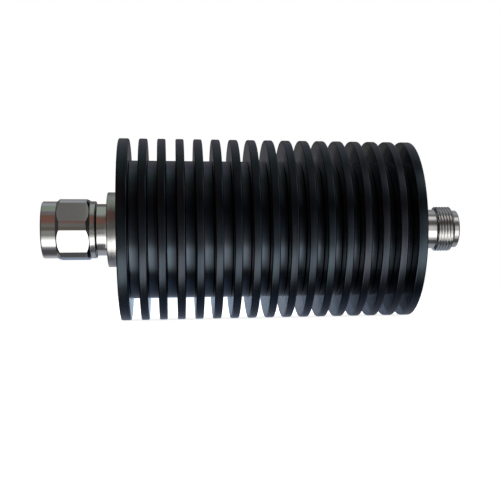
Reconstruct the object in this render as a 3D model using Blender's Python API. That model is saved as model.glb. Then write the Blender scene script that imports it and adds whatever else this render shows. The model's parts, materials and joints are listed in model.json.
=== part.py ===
"""Fixed coaxial attenuator with a finned heat sink, a plug and a jack.

Every length is in metres. The common axis is X: the plug with its hexagonal
coupling nut points to -X and the threaded jack to +X, and +Z is up. Stations
along the axis count from the heat sink's plug-side face. The root empty then
moves the whole part so that the centre of its box is the origin.

Radii run outwards as one chain, from the centre conductor to the coupling
nut, so that each piece still fits its neighbours when one size is changed.
"""

import math

import bmesh
import bpy
from mathutils import Matrix, Vector

MM = 0.001
MERGE = 0.00002

# Clearance left between two pieces that meet
GAP = 0.3 * MM

# Heat sink
SINK_LENGTH = 100.0 * MM
SINK_RADIUS = 30.8 * MM
FIN_COUNT = 17
FIN_HEIGHT = 7.4 * MM
FIN_THICKNESS = 2.7 * MM
END_FIN_THICKNESS = 3.4 * MM
FIN_CHAMFER = 0.4 * MM
CORE_BORE_RADIUS = 9.3 * MM
SOCKET_STEP = 1.0 * MM
SOCKET_RELIEF = 1.0 * MM

# End caps: a flange outside and a boss screwed into the heat sink
FLANGE_THICKNESS = 3.7 * MM
FLANGE_OVERLAP = 2.35 * MM
FLANGE_CHAMFER = 0.4 * MM
BOSS_FLOOR = 5.7 * MM

# Coaxial line and the radial chain of both connectors
PIN_RADIUS = 1.52 * MM
LINE_SPACE = 1.98 * MM
SLEEVE_WALL = 0.5 * MM
SLEEVE_LIP = 0.8 * MM
GROOVE_WALL = 1.1 * MM
GROOVE_DEPTH = 0.8 * MM
SPIGOT_WALL = 1.6 * MM
SPIGOT_LENGTH = 7.3 * MM
NECK_STEP = 1.7 * MM
THREAD_STEP = 0.15 * MM
THREAD_HEIGHT = 0.4875 * MM

# Plug
NECK_LENGTH = 3.05 * MM
NUT_FLOAT = 0.35 * MM
BARREL_LIP = 1.0 * MM
SLEEVE_REACH = 10.8 * MM
SLEEVE_COLLAR_LENGTH = 2.0 * MM
SLEEVE_SEAT = 1.5 * MM
SLEEVE_SLOT_WIDTH = 0.4 * MM
SLEEVE_SLOT_LENGTH = 7.5 * MM
GASKET_THICKNESS = 1.5 * MM
GASKET_CLEARANCE = 0.5 * MM
RING_THICKNESS = 1.0 * MM
RING_GRIP = 0.5 * MM
RING_OPENING = 2.4 * MM
PIN_TIP_RADIUS = 0.8 * MM
PIN_TIP_LENGTH = 2.1 * MM
PIN_TIP_RECESS = 3.2 * MM

# Coupling nut
NUT_OVERHANG = 1.55 * MM
NUT_REAR_LIP = 2.45 * MM
NUT_WALL = 1.715 * MM
NUT_CORNER_RISE = 0.745 * MM
NUT_FRONT_RING_DROP = 0.295 * MM
NUT_REAR_RING_DROP = 0.19 * MM
NUT_FRONT_RING_LENGTH = 4.78 * MM
NUT_REAR_RING_LENGTH = 1.81 * MM
NUT_CHAMFER = 0.45 * MM
NUT_CORNER_CHAMFER_ANGLE = math.radians(48.0)
NUT_TURN = math.radians(3.6)

# Jack
JACK_COLLAR_LENGTH = 1.3 * MM
JACK_BEAD_REACH = 1.7 * MM
LINE_WEB = 2.9 * MM
SOCKET_DEPTH = 9.1 * MM
SOCKET_CLEARANCE = 0.05 * MM
CONTACT_REACH = 4.75 * MM
CONTACT_HOLE_RADIUS = 0.825 * MM
CONTACT_HOLE_DEPTH = 6.0 * MM
CONTACT_SLOT_WIDTH = 0.3 * MM
CONTACT_SLOT_LENGTH = 5.0 * MM
JACK_NECK_WALL = 1.85 * MM
JACK_LIP_WALL = 2.6 * MM
JACK_LIP_LENGTH = 2.3 * MM
JACK_THREAD_LENGTH = 6.2 * MM
JACK_LIP_CHAMFER = 0.45 * MM
SOCKET_CHAMFER = 0.3 * MM
THREAD_REAR_CONE = 0.6 * MM
THREAD_LEAD_CONE = 1.1 * MM

# Collar that keeps a centre conductor in its bead
BEAD_COLLAR_RISE = 0.6 * MM
BEAD_COLLAR_LENGTH = 1.0 * MM

# Core with the two attenuator chips
CHIP_SPACING = 36.0 * MM
CHIP_BASE_LENGTH = 22.0 * MM
CHIP_BASE_THICKNESS = 2.2 * MM
CERAMIC_LENGTH = 9.0 * MM
CERAMIC_WIDTH = 5.8 * MM
CERAMIC_THICKNESS = 1.0 * MM
LID_LENGTH = 5.0 * MM
LID_THICKNESS = 1.0 * MM
TAB_WIDTH = 1.6 * MM
TAB_THICKNESS = 0.25 * MM
TAB_LANDING = 1.4 * MM
FLAT_LENGTH = 3.0 * MM
PIN_END_CLEARANCE = 1.0 * MM
CHANNEL_SIDE_WALL = 1.7 * MM
CHANNEL_HEIGHT = 4.0 * MM
SCREW_RADIUS = 0.9 * MM
SCREW_HEAD_RADIUS = 1.75 * MM
SCREW_HEAD_HEIGHT = 1.6 * MM
SCREW_REACH = 2.2 * MM
SCREW_SOCKET_RADIUS = 0.8 * MM
SCREW_SOCKET_DEPTH = 0.8 * MM
SCREW_END_MARGIN = 3.0 * MM
SCREW_SIDE_MARGIN = 2.0 * MM

# Sides of the turned forms
SINK_SIDES = 36
NUT_SIDES = 40
BODY_SIDES = 28
HIDDEN_SIDES = 20
PIN_SIDES = 16
SCREW_SIDES = 12

# Radii worked out from the chain
line_radius = PIN_RADIUS + LINE_SPACE
sleeve_radius = line_radius + SLEEVE_WALL
bead_radius = sleeve_radius + SLEEVE_LIP
bead_bore_radius = bead_radius + GAP
groove_floor_radius = bead_bore_radius + GROOVE_WALL
barrel_radius = groove_floor_radius + GROOVE_DEPTH
neck_radius = barrel_radius + NECK_STEP
spigot_radius = bead_bore_radius + SPIGOT_WALL
ring_inner_radius = groove_floor_radius + GAP
nut_rear_bore_radius = barrel_radius + GAP
ring_outer_radius = nut_rear_bore_radius + RING_GRIP
nut_groove_radius = ring_outer_radius + GAP
thread_minor_radius = nut_rear_bore_radius + THREAD_STEP
thread_radius = thread_minor_radius + THREAD_HEIGHT
nut_flat_radius = nut_groove_radius + NUT_WALL
nut_corner_radius = nut_flat_radius + NUT_CORNER_RISE
jack_bore_radius = sleeve_radius + SOCKET_CLEARANCE
jack_neck_radius = bead_bore_radius + JACK_NECK_WALL
jack_lip_radius = jack_bore_radius + JACK_LIP_WALL
bead_hole_radius = PIN_RADIUS + GAP
bead_collar_radius = PIN_RADIUS + BEAD_COLLAR_RISE
socket_radius = max(CORE_BORE_RADIUS, spigot_radius + 2.0 * GAP) + SOCKET_STEP
boss_radius = socket_radius - GAP
flange_radius = socket_radius + FLANGE_OVERLAP
core_radius = CORE_BORE_RADIUS - GAP

# Distances outwards from the heat sink's end face, the same at both ends
cap_face = GAP + FLANGE_THICKNESS
shoulder = cap_face + GAP
spigot_end = shoulder - SPIGOT_LENGTH
cap_step = spigot_end - GAP
boss_end = cap_step - BOSS_FLOOR
bead_collar_start = cap_step - GAP

# Distances outwards along the plug
neck_front = shoulder + NECK_LENGTH
nut_rear = neck_front + NUT_FLOAT
nut_shoulder = nut_rear + NUT_REAR_LIP
ring_rear = nut_shoulder + GAP
ring_front = ring_rear + RING_THICKNESS
groove_front = ring_front + GAP
barrel_front = groove_front + BARREL_LIP
sleeve_front = barrel_front + SLEEVE_REACH
nut_front = sleeve_front + NUT_OVERHANG
sleeve_collar_front = barrel_front - SLEEVE_SEAT - GAP
sleeve_collar_rear = sleeve_collar_front - SLEEVE_COLLAR_LENGTH

# Distances outwards along the jack
jack_bead_bore_end = shoulder + JACK_BEAD_REACH
jack_reference = jack_bead_bore_end + LINE_WEB
jack_front = jack_reference + SOCKET_DEPTH
thread_front = jack_front - JACK_LIP_LENGTH
thread_rear = thread_front - JACK_THREAD_LENGTH
contact_tip = jack_reference + CONTACT_REACH

# Core stations along X and levels along Z
core_start = GAP - boss_end
core_end = SINK_LENGTH - core_start
centre_station = 0.5 * SINK_LENGTH
chip_stations = {
    "input": centre_station - 0.5 * CHIP_SPACING,
    "output": centre_station + 0.5 * CHIP_SPACING,
}
conductor_end = centre_station - 0.5 * (CHIP_SPACING + CHIP_BASE_LENGTH) - PIN_END_CLEARANCE
ceramic_bottom = -CERAMIC_THICKNESS
base_top = ceramic_bottom - GAP
base_bottom = base_top - CHIP_BASE_THICKNESS
carrier_top = base_bottom - GAP
cover_bottom = base_bottom
channel_half_width = math.sqrt(core_radius ** 2 - cover_bottom ** 2) - CHANNEL_SIDE_WALL
chip_base_half_width = channel_half_width - GAP
tab_bottom = GAP
screw_hole_radius = SCREW_RADIUS + GAP
screw_offset_x = 0.5 * CHIP_BASE_LENGTH - SCREW_END_MARGIN
screw_offset_y = chip_base_half_width - SCREW_SIDE_MARGIN
screw_tip = carrier_top - SCREW_REACH

# The part's box centre, which the root empty brings to the origin
box_centre_station = 0.5 * (SINK_LENGTH + jack_front - nut_front)


def plug_station(distance):
    """Station of a point this far outwards from the plug-side face."""
    return -distance


def jack_station(distance):
    """Station of a point this far outwards from the jack-side face."""
    return SINK_LENGTH + distance


def clear_scene():
    """Remove every object that the scene opened with."""
    for item in list(bpy.data.objects):
        bpy.data.objects.remove(item, do_unlink=True)


def make_finish(name, colour, metallic, roughness):
    """Principled material in the piece's own colour."""
    finish = bpy.data.materials.new(name)
    finish.use_nodes = True
    shader = finish.node_tree.nodes["Principled BSDF"]
    shader.inputs["Base Color"].default_value = (*colour, 1.0)
    shader.inputs["Metallic"].default_value = metallic
    shader.inputs["Roughness"].default_value = roughness
    return finish


def add_object(name, mesh, parent):
    """Link a mesh object under its parent empty."""
    item = bpy.data.objects.new(name, mesh)
    bpy.context.collection.objects.link(item)
    item.parent = parent
    return item


def finish_mesh(bm, name, finish):
    """Close the bmesh into a mesh with outward faces and smooth round sides."""
    bmesh.ops.recalc_face_normals(bm, faces=bm.faces)
    mesh = bpy.data.meshes.new(name)
    bm.to_mesh(mesh)
    bm.free()
    mesh.shade_smooth()
    mesh.set_sharp_from_angle(angle=math.radians(30.0))
    if finish is not None:
        mesh.materials.append(finish)
    return mesh


def turned_mesh(name, outline, sides, finish=None):
    """Spin an outline of (station, radius) points about the X axis.

    An outline that starts and ends on the axis makes a solid bar. Any other
    outline is closed into a loop and makes a hollow ring.
    """
    bm = bmesh.new()
    points = [bm.verts.new((station, 0.0, radius)) for station, radius in outline]
    pairs = list(zip(points, points[1:]))
    if outline[0][1] > 0.0:
        pairs.append((points[-1], points[0]))
    edges = [bm.edges.new(pair) for pair in pairs]
    bmesh.ops.spin(bm, geom=points + edges, cent=(0.0, 0.0, 0.0), axis=(1.0, 0.0, 0.0),
                   angle=math.tau, steps=sides, use_merge=True)
    bmesh.ops.remove_doubles(bm, verts=bm.verts, dist=MERGE)
    return finish_mesh(bm, name, finish)


def prism_mesh(name, section, start, end, finish=None):
    """Extrude a closed (y, z) section along X from start to end."""
    bm = bmesh.new()
    corners = [bm.verts.new((start, y, z)) for y, z in section]
    face = bm.faces.new(corners)
    extruded = bmesh.ops.extrude_face_region(bm, geom=[face])
    moved = [item for item in extruded["geom"] if isinstance(item, bmesh.types.BMVert)]
    bmesh.ops.translate(bm, verts=moved, vec=(end - start, 0.0, 0.0))
    return finish_mesh(bm, name, finish)


def box_mesh(name, low, high, finish=None):
    """Plain block between two opposite corners."""
    bm = bmesh.new()
    size = Vector(high) - Vector(low)
    middle = 0.5 * (Vector(high) + Vector(low))
    placing = Matrix.Translation(middle) @ Matrix.Diagonal((*size, 1.0))
    bmesh.ops.create_cube(bm, size=1.0, matrix=placing)
    return finish_mesh(bm, name, finish)


def upright_cylinders_mesh(name, centres, radius, low, high, sides):
    """Upright round bars, one at each (x, y) centre."""
    bm = bmesh.new()
    for x, y in centres:
        placing = Matrix.Translation((x, y, 0.5 * (low + high)))
        bmesh.ops.create_cone(bm, cap_ends=True, segments=sides, radius1=radius,
                              radius2=radius, depth=high - low, matrix=placing)
    return finish_mesh(bm, name, None)


def cut(item, cutter_mesh, operation="DIFFERENCE"):
    """Take a hidden cutter's volume out of an object."""
    cutter = add_object(item.name + "_cutter", cutter_mesh, item.parent)
    cutter.hide_render = True
    cutter.display_type = "WIRE"
    boolean = item.modifiers.new("Cut", "BOOLEAN")
    boolean.operation = operation
    boolean.solver = "EXACT"
    boolean.object = cutter
    return cutter


def arc_points(radius, start_angle, end_angle, steps):
    """Points (y, z) along an arc about the X axis."""
    angles = [start_angle + (end_angle - start_angle) * i / steps for i in range(steps + 1)]
    return [(radius * math.cos(angle), radius * math.sin(angle)) for angle in angles]


def fin_spans():
    """Start and end station of every fin, from the plug side to the jack side."""
    inner_fins = FIN_COUNT - 2
    metal = 2.0 * END_FIN_THICKNESS + inner_fins * FIN_THICKNESS
    groove = (SINK_LENGTH - metal) / (FIN_COUNT - 1)
    spans = []
    start = 0.0
    for i in range(FIN_COUNT):
        thickness = END_FIN_THICKNESS if i in (0, FIN_COUNT - 1) else FIN_THICKNESS
        spans.append((start, start + thickness))
        start += thickness + groove
    return spans


def make_heat_sink(parent, finish):
    """One turned bar: round fins outside, a stepped bore through the middle."""
    root_radius = SINK_RADIUS - FIN_HEIGHT
    rim = SINK_RADIUS - FIN_CHAMFER
    socket_depth = SOCKET_RELIEF - boss_end
    outline = [(0.0, socket_radius)]
    for i, (start, end) in enumerate(fin_spans()):
        if i > 0:
            outline.append((start, root_radius))
        outline.append((start, rim))
        outline.append((start + FIN_CHAMFER, SINK_RADIUS))
        outline.append((end - FIN_CHAMFER, SINK_RADIUS))
        outline.append((end, rim))
        if i < FIN_COUNT - 1:
            outline.append((end, root_radius))
    outline.append((SINK_LENGTH, socket_radius))
    outline.append((SINK_LENGTH - socket_depth, socket_radius))
    outline.append((SINK_LENGTH - socket_depth, CORE_BORE_RADIUS))
    outline.append((socket_depth, CORE_BORE_RADIUS))
    outline.append((socket_depth, socket_radius))
    mesh = turned_mesh("heat_sink", outline, SINK_SIDES, finish)
    return add_object("heat_sink", mesh, parent)


def make_end_cap(name, station, parent, finish):
    """Round flange with a boss; its stepped bore holds a connector's spigot."""
    spigot_bore = spigot_radius + GAP
    outline = [
        (station(GAP), boss_radius),
        (station(GAP), flange_radius - FLANGE_CHAMFER),
        (station(GAP + FLANGE_CHAMFER), flange_radius),
        (station(cap_face - FLANGE_CHAMFER), flange_radius),
        (station(cap_face), flange_radius - FLANGE_CHAMFER),
        (station(cap_face), spigot_bore),
        (station(cap_step), spigot_bore),
        (station(cap_step), line_radius),
        (station(boss_end), line_radius),
        (station(boss_end), boss_radius),
    ]
    return add_object(name, turned_mesh(name, outline, BODY_SIDES, finish), parent)


def make_plug_body(parent, finish):
    """Barrel that carries the coupling nut, with a groove for its ring."""
    lip_radius = thread_minor_radius - GAP
    outline = [(plug_station(distance), radius) for distance, radius in (
        (spigot_end, bead_bore_radius),
        (spigot_end, spigot_radius),
        (shoulder, spigot_radius),
        (shoulder, neck_radius),
        (neck_front - NUT_CHAMFER, neck_radius),
        (neck_front, neck_radius - NUT_CHAMFER),
        (neck_front, barrel_radius),
        (nut_shoulder, barrel_radius),
        (nut_shoulder, groove_floor_radius),
        (groove_front, groove_floor_radius),
        (groove_front, lip_radius),
        (barrel_front, lip_radius),
        (barrel_front, sleeve_radius + GAP),
        (barrel_front - SLEEVE_SEAT, sleeve_radius + GAP),
        (barrel_front - SLEEVE_SEAT, bead_bore_radius),
    )]
    mesh = turned_mesh("plug_body", outline, BODY_SIDES, finish)
    return add_object("plug_body", mesh, parent)


def make_plug_outer_contact(parent, finish):
    """Spring sleeve with a rear collar and four lengthwise slots."""
    outline = [(plug_station(distance), radius) for distance, radius in (
        (sleeve_collar_rear, line_radius),
        (sleeve_collar_rear, bead_radius),
        (sleeve_collar_front, bead_radius),
        (sleeve_collar_front, sleeve_radius),
        (sleeve_front, sleeve_radius),
        (sleeve_front, line_radius),
    )]
    mesh = turned_mesh("plug_outer_contact", outline, BODY_SIDES, finish)
    sleeve = add_object("plug_outer_contact", mesh, parent)
    slot_root = plug_station(sleeve_front - SLEEVE_SLOT_LENGTH)
    cut(sleeve, cross_mesh("sleeve_slots", plug_station(nut_front), slot_root,
                           SLEEVE_SLOT_WIDTH, neck_radius))
    return sleeve


def cross_mesh(name, start, end, width, reach):
    """Plus-shaped bar along X that cuts two crossing slots."""
    half = 0.5 * width
    section = [
        (half, half), (half, reach), (-half, reach), (-half, half),
        (-reach, half), (-reach, -half), (-half, -half), (-half, -reach),
        (half, -reach), (half, -half), (reach, -half), (reach, half),
    ]
    return prism_mesh(name, section, start, end)


def make_bead(name, station, front, parent, finish):
    """Insulating bead that centres a conductor in its body."""
    outline = [
        (station(spigot_end), bead_hole_radius),
        (station(spigot_end), bead_radius),
        (station(front), bead_radius),
        (station(front), bead_hole_radius),
    ]
    return add_object(name, turned_mesh(name, outline, HIDDEN_SIDES, finish), parent)


def conductor_tail(station, end_distance):
    """Outline shared by both centre conductors, from the bead to the axis."""
    return [
        (station(bead_collar_start), PIN_RADIUS),
        (station(bead_collar_start), bead_collar_radius),
        (station(bead_collar_start - BEAD_COLLAR_LENGTH), bead_collar_radius),
        (station(bead_collar_start - BEAD_COLLAR_LENGTH), PIN_RADIUS),
        (station(end_distance), PIN_RADIUS),
        (station(end_distance), 0.0),
    ]


def mill_tail_flat(conductor, station, end_distance):
    """Cut the flat on which a chip's tab is soldered."""
    ends = sorted((station(end_distance + FLAT_LENGTH), station(end_distance - FLAT_LENGTH)))
    low = (ends[0], -2.0 * PIN_RADIUS, 0.0)
    high = (ends[1], 2.0 * PIN_RADIUS, 2.0 * PIN_RADIUS)
    cut(conductor, box_mesh(conductor.name + "_flat", low, high))


def make_plug_pin(parent, finish):
    """Centre pin: a slim tip, a shoulder and a tail that reaches the core."""
    tip = sleeve_front - PIN_TIP_RECESS
    pin_shoulder = tip - PIN_TIP_LENGTH
    tip_chamfer = 0.5 * PIN_TIP_RADIUS
    outline = [
        (plug_station(tip), 0.0),
        (plug_station(tip), PIN_TIP_RADIUS - tip_chamfer),
        (plug_station(tip - tip_chamfer), PIN_TIP_RADIUS),
        (plug_station(pin_shoulder), PIN_TIP_RADIUS),
        (plug_station(pin_shoulder), PIN_RADIUS),
    ] + conductor_tail(plug_station, -conductor_end)
    pin = add_object("plug_pin", turned_mesh("plug_pin", outline, PIN_SIDES, finish), parent)
    mill_tail_flat(pin, plug_station, -conductor_end)
    return pin


def make_plug_gasket(parent, finish):
    """Soft sealing ring on the barrel's front face, around the sleeve."""
    rear = plug_station(barrel_front + GAP)
    front = plug_station(barrel_front + GAP + GASKET_THICKNESS)
    inner = sleeve_radius + GASKET_CLEARANCE
    outer = thread_minor_radius - GASKET_CLEARANCE
    outline = [(rear, inner), (rear, outer), (front, outer), (front, inner)]
    mesh = turned_mesh("plug_gasket", outline, BODY_SIDES, finish)
    return add_object("plug_gasket", mesh, parent)


def make_retaining_ring(parent, finish):
    """Split ring in the barrel's groove; the nut's shoulder pulls on it."""
    rear = plug_station(ring_rear)
    front = plug_station(ring_front)
    outline = [(rear, ring_inner_radius), (rear, ring_outer_radius),
               (front, ring_outer_radius), (front, ring_inner_radius)]
    mesh = turned_mesh("nut_retaining_ring", outline, BODY_SIDES, finish)
    ring = add_object("nut_retaining_ring", mesh, parent)
    low = (plug_station(barrel_front), -0.5 * RING_OPENING, -2.0 * ring_outer_radius)
    high = (plug_station(nut_rear), 0.5 * RING_OPENING, 0.0)
    cut(ring, box_mesh("ring_opening", low, high))
    return ring


def make_coupling_nut(parent, finish):
    """Turned nut whose middle is milled to a hexagon with turned corners."""
    front_ring = nut_flat_radius - NUT_FRONT_RING_DROP
    rear_ring = nut_flat_radius - NUT_REAR_RING_DROP
    slope = math.tan(NUT_CORNER_CHAMFER_ANGLE)
    hex_rear = nut_rear + NUT_REAR_RING_LENGTH
    hex_front = nut_front - NUT_FRONT_RING_LENGTH
    groove_mouth = ring_front + 2.0 * GAP
    mouth_chamfer = THREAD_HEIGHT
    outline = [(plug_station(distance), radius) for distance, radius in (
        (nut_rear, nut_rear_bore_radius),
        (nut_rear, rear_ring - NUT_CHAMFER),
        (nut_rear + NUT_CHAMFER, rear_ring),
        (hex_rear, rear_ring),
        (hex_rear + slope * (nut_corner_radius - rear_ring), nut_corner_radius),
        (hex_front - slope * (nut_corner_radius - front_ring), nut_corner_radius),
        (hex_front, front_ring),
        (nut_front - NUT_CHAMFER, front_ring),
        (nut_front, front_ring - NUT_CHAMFER),
        (nut_front, thread_minor_radius + mouth_chamfer),
        (nut_front - mouth_chamfer, thread_minor_radius),
        (groove_mouth, thread_minor_radius),
        (groove_mouth, nut_groove_radius),
        (nut_shoulder, nut_groove_radius),
        (nut_shoulder, nut_rear_bore_radius),
    )]
    mesh = turned_mesh("coupling_nut", outline, NUT_SIDES, finish)
    nut = add_object("coupling_nut", mesh, parent)
    cut(nut, hexagon_frame_mesh("nut_flats", plug_station(hex_front + NUT_CHAMFER),
                                plug_station(hex_rear - NUT_CHAMFER)))
    return nut


def hexagon_frame_mesh(name, start, end):
    """Ring with a hexagonal hole: what milling takes off around the nut."""
    inner = nut_flat_radius / math.cos(math.radians(30.0))
    outer = 2.0 * nut_corner_radius
    bm = bmesh.new()
    for radius in (inner, outer):
        corners = []
        for i in range(6):
            angle = NUT_TURN + math.radians(60.0 * i)
            corners.append(bm.verts.new((start, -radius * math.cos(angle), radius * math.sin(angle))))
        for a, b in zip(corners, corners[1:] + corners[:1]):
            bm.edges.new((a, b))
    bmesh.ops.bridge_loops(bm, edges=bm.edges)
    extruded = bmesh.ops.extrude_face_region(bm, geom=bm.faces[:])
    moved = [item for item in extruded["geom"] if isinstance(item, bmesh.types.BMVert)]
    bmesh.ops.translate(bm, verts=moved, vec=(end - start, 0.0, 0.0))
    return finish_mesh(bm, name, None)


def make_jack_body(parent, finish):
    """Threaded barrel with the socket bore; the blank of its thread is plain."""
    outline = [(jack_station(distance), radius) for distance, radius in (
        (spigot_end, bead_bore_radius),
        (spigot_end, spigot_radius),
        (shoulder, spigot_radius),
        (shoulder, neck_radius),
        (shoulder + JACK_COLLAR_LENGTH, neck_radius),
        (shoulder + JACK_COLLAR_LENGTH, jack_neck_radius),
        (thread_rear, jack_neck_radius),
        (thread_rear + THREAD_REAR_CONE, thread_radius),
        (thread_front, thread_radius),
        (thread_front + THREAD_LEAD_CONE, jack_lip_radius),
        (jack_front - JACK_LIP_CHAMFER, jack_lip_radius),
        (jack_front, jack_lip_radius - JACK_LIP_CHAMFER),
        (jack_front, jack_bore_radius + SOCKET_CHAMFER),
        (jack_front - SOCKET_CHAMFER, jack_bore_radius),
        (jack_reference, jack_bore_radius),
        (jack_reference, line_radius),
        (jack_bead_bore_end, line_radius),
        (jack_bead_bore_end, bead_bore_radius),
    )]
    mesh = turned_mesh("jack_body", outline, BODY_SIDES, finish)
    return add_object("jack_body", mesh, parent)


def make_jack_contact(parent, finish):
    """Centre socket: a drilled and slotted tip and a tail to the core."""
    outline = [
        (jack_station(contact_tip - CONTACT_HOLE_DEPTH), 0.0),
        (jack_station(contact_tip - CONTACT_HOLE_DEPTH), CONTACT_HOLE_RADIUS),
        (jack_station(contact_tip), CONTACT_HOLE_RADIUS),
        (jack_station(contact_tip), PIN_RADIUS),
    ] + conductor_tail(jack_station, -conductor_end)
    mesh = turned_mesh("jack_contact", outline, PIN_SIDES, finish)
    contact = add_object("jack_contact", mesh, parent)
    slot_root = jack_station(contact_tip - CONTACT_SLOT_LENGTH)
    cut(contact, cross_mesh("contact_slots", slot_root, jack_station(jack_front),
                            CONTACT_SLOT_WIDTH, 2.0 * PIN_RADIUS))
    mill_tail_flat(contact, jack_station, -conductor_end)
    return contact


def screw_places(chip_station):
    """Two opposite corners of a chip's base, as (x, y)."""
    return [
        (chip_station - screw_offset_x, -screw_offset_y),
        (chip_station + screw_offset_x, screw_offset_y),
    ]


def make_core_carrier(parent, finish):
    """Lower part of the core: a round bar with a flat that the chips sit on."""
    angle = math.asin(-carrier_top / core_radius)
    section = arc_points(core_radius, math.pi + angle, math.tau - angle, HIDDEN_SIDES // 2)
    mesh = prism_mesh("core_carrier", section, core_start, core_end, finish)
    carrier = add_object("core_carrier", mesh, parent)
    places = [place for station in chip_stations.values() for place in screw_places(station)]
    holes = upright_cylinders_mesh("carrier_holes", places, screw_hole_radius,
                                   screw_tip - GAP, -carrier_top, SCREW_SIDES)
    cut(carrier, holes)
    return carrier


def make_core_cover(parent, finish):
    """Upper part of the core: a screening trough over chips and tabs."""
    angle = math.asin(-cover_bottom / core_radius)
    section = arc_points(core_radius, -angle, math.pi + angle, HIDDEN_SIDES)
    section += [
        (-channel_half_width, cover_bottom),
        (-channel_half_width, CHANNEL_HEIGHT),
        (channel_half_width, CHANNEL_HEIGHT),
        (channel_half_width, cover_bottom),
    ]
    mesh = prism_mesh("core_cover", section, core_start, core_end, finish)
    return add_object("core_cover", mesh, parent)


def make_chip(side, parent, finishes):
    """Attenuator chip: a metal base, the ceramic on it and the ceramic's lid."""
    station = chip_stations[side]
    half_base = 0.5 * CHIP_BASE_LENGTH
    base_name = side + "_chip_base"
    base_mesh = box_mesh(base_name, (station - half_base, -chip_base_half_width, base_bottom),
                         (station + half_base, chip_base_half_width, base_top), finishes["copper"])
    base = add_object(base_name, base_mesh, parent)
    cut(base, upright_cylinders_mesh(base_name + "_holes", screw_places(station),
                                     screw_hole_radius, carrier_top, 0.0, SCREW_SIDES))
    half_ceramic = 0.5 * CERAMIC_LENGTH
    half_width = 0.5 * CERAMIC_WIDTH
    ceramic_name = side + "_chip_ceramic"
    ceramic_mesh = box_mesh(ceramic_name, (station - half_ceramic, -half_width, ceramic_bottom),
                            (station + half_ceramic, half_width, 0.0), finishes["ceramic"])
    add_object(ceramic_name, ceramic_mesh, parent)
    half_lid = 0.5 * LID_LENGTH
    lid_name = side + "_chip_lid"
    lid_mesh = box_mesh(lid_name, (station - half_lid, -half_width, GAP),
                        (station + half_lid, half_width, GAP + LID_THICKNESS), finishes["lid"])
    add_object(lid_name, lid_mesh, parent)


def make_tab(name, start, end, parent, finish):
    """Thin conductor strip lying just above the flats and ceramics."""
    half = 0.5 * TAB_WIDTH
    mesh = box_mesh(name, (start, -half, tab_bottom),
                    (end, half, tab_bottom + TAB_THICKNESS), finish)
    return add_object(name, mesh, parent)


def make_tabs(parent, finish):
    """Three strips: pin to first chip, chip to chip, second chip to contact."""
    landing = 0.5 * CERAMIC_LENGTH - TAB_LANDING
    first = chip_stations["input"]
    second = chip_stations["output"]
    on_pin = conductor_end - 0.8 * FLAT_LENGTH
    make_tab("input_tab", on_pin, first - landing, parent, finish)
    make_tab("link_tab", first + landing, second - landing, parent, finish)
    make_tab("output_tab", second + landing, SINK_LENGTH - on_pin, parent, finish)


def screw_mesh(finish):
    """Small cap screw standing on z = 0 under its head, with a six-sided socket."""
    head_top = SCREW_HEAD_HEIGHT
    tip = screw_tip - base_top - GAP
    bm = bmesh.new()
    outline = [
        (0.0, tip), (SCREW_RADIUS, tip), (SCREW_RADIUS, 0.0), (SCREW_HEAD_RADIUS, 0.0),
        (SCREW_HEAD_RADIUS, head_top), (SCREW_SOCKET_RADIUS, head_top),
        (SCREW_SOCKET_RADIUS, head_top - SCREW_SOCKET_DEPTH),
        (0.0, head_top - SCREW_SOCKET_DEPTH),
    ]
    points = [bm.verts.new((radius, 0.0, z)) for radius, z in outline]
    edges = [bm.edges.new(pair) for pair in zip(points, points[1:])]
    bmesh.ops.spin(bm, geom=points + edges, cent=(0.0, 0.0, 0.0), axis=(0.0, 0.0, 1.0),
                   angle=math.tau, steps=SCREW_SIDES, use_merge=True)
    bmesh.ops.remove_doubles(bm, verts=bm.verts, dist=MERGE)
    return finish_mesh(bm, "chip_screw", finish)


def make_screws(parent, finish):
    """Two screws for each chip's base, all sharing one mesh."""
    mesh = screw_mesh(finish)
    for side, station in chip_stations.items():
        for i, (x, y) in enumerate(screw_places(station), start=1):
            screw = add_object(f"{side}_chip_screw_{i}", mesh, parent)
            screw.location = (x, y, base_top + GAP)


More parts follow.
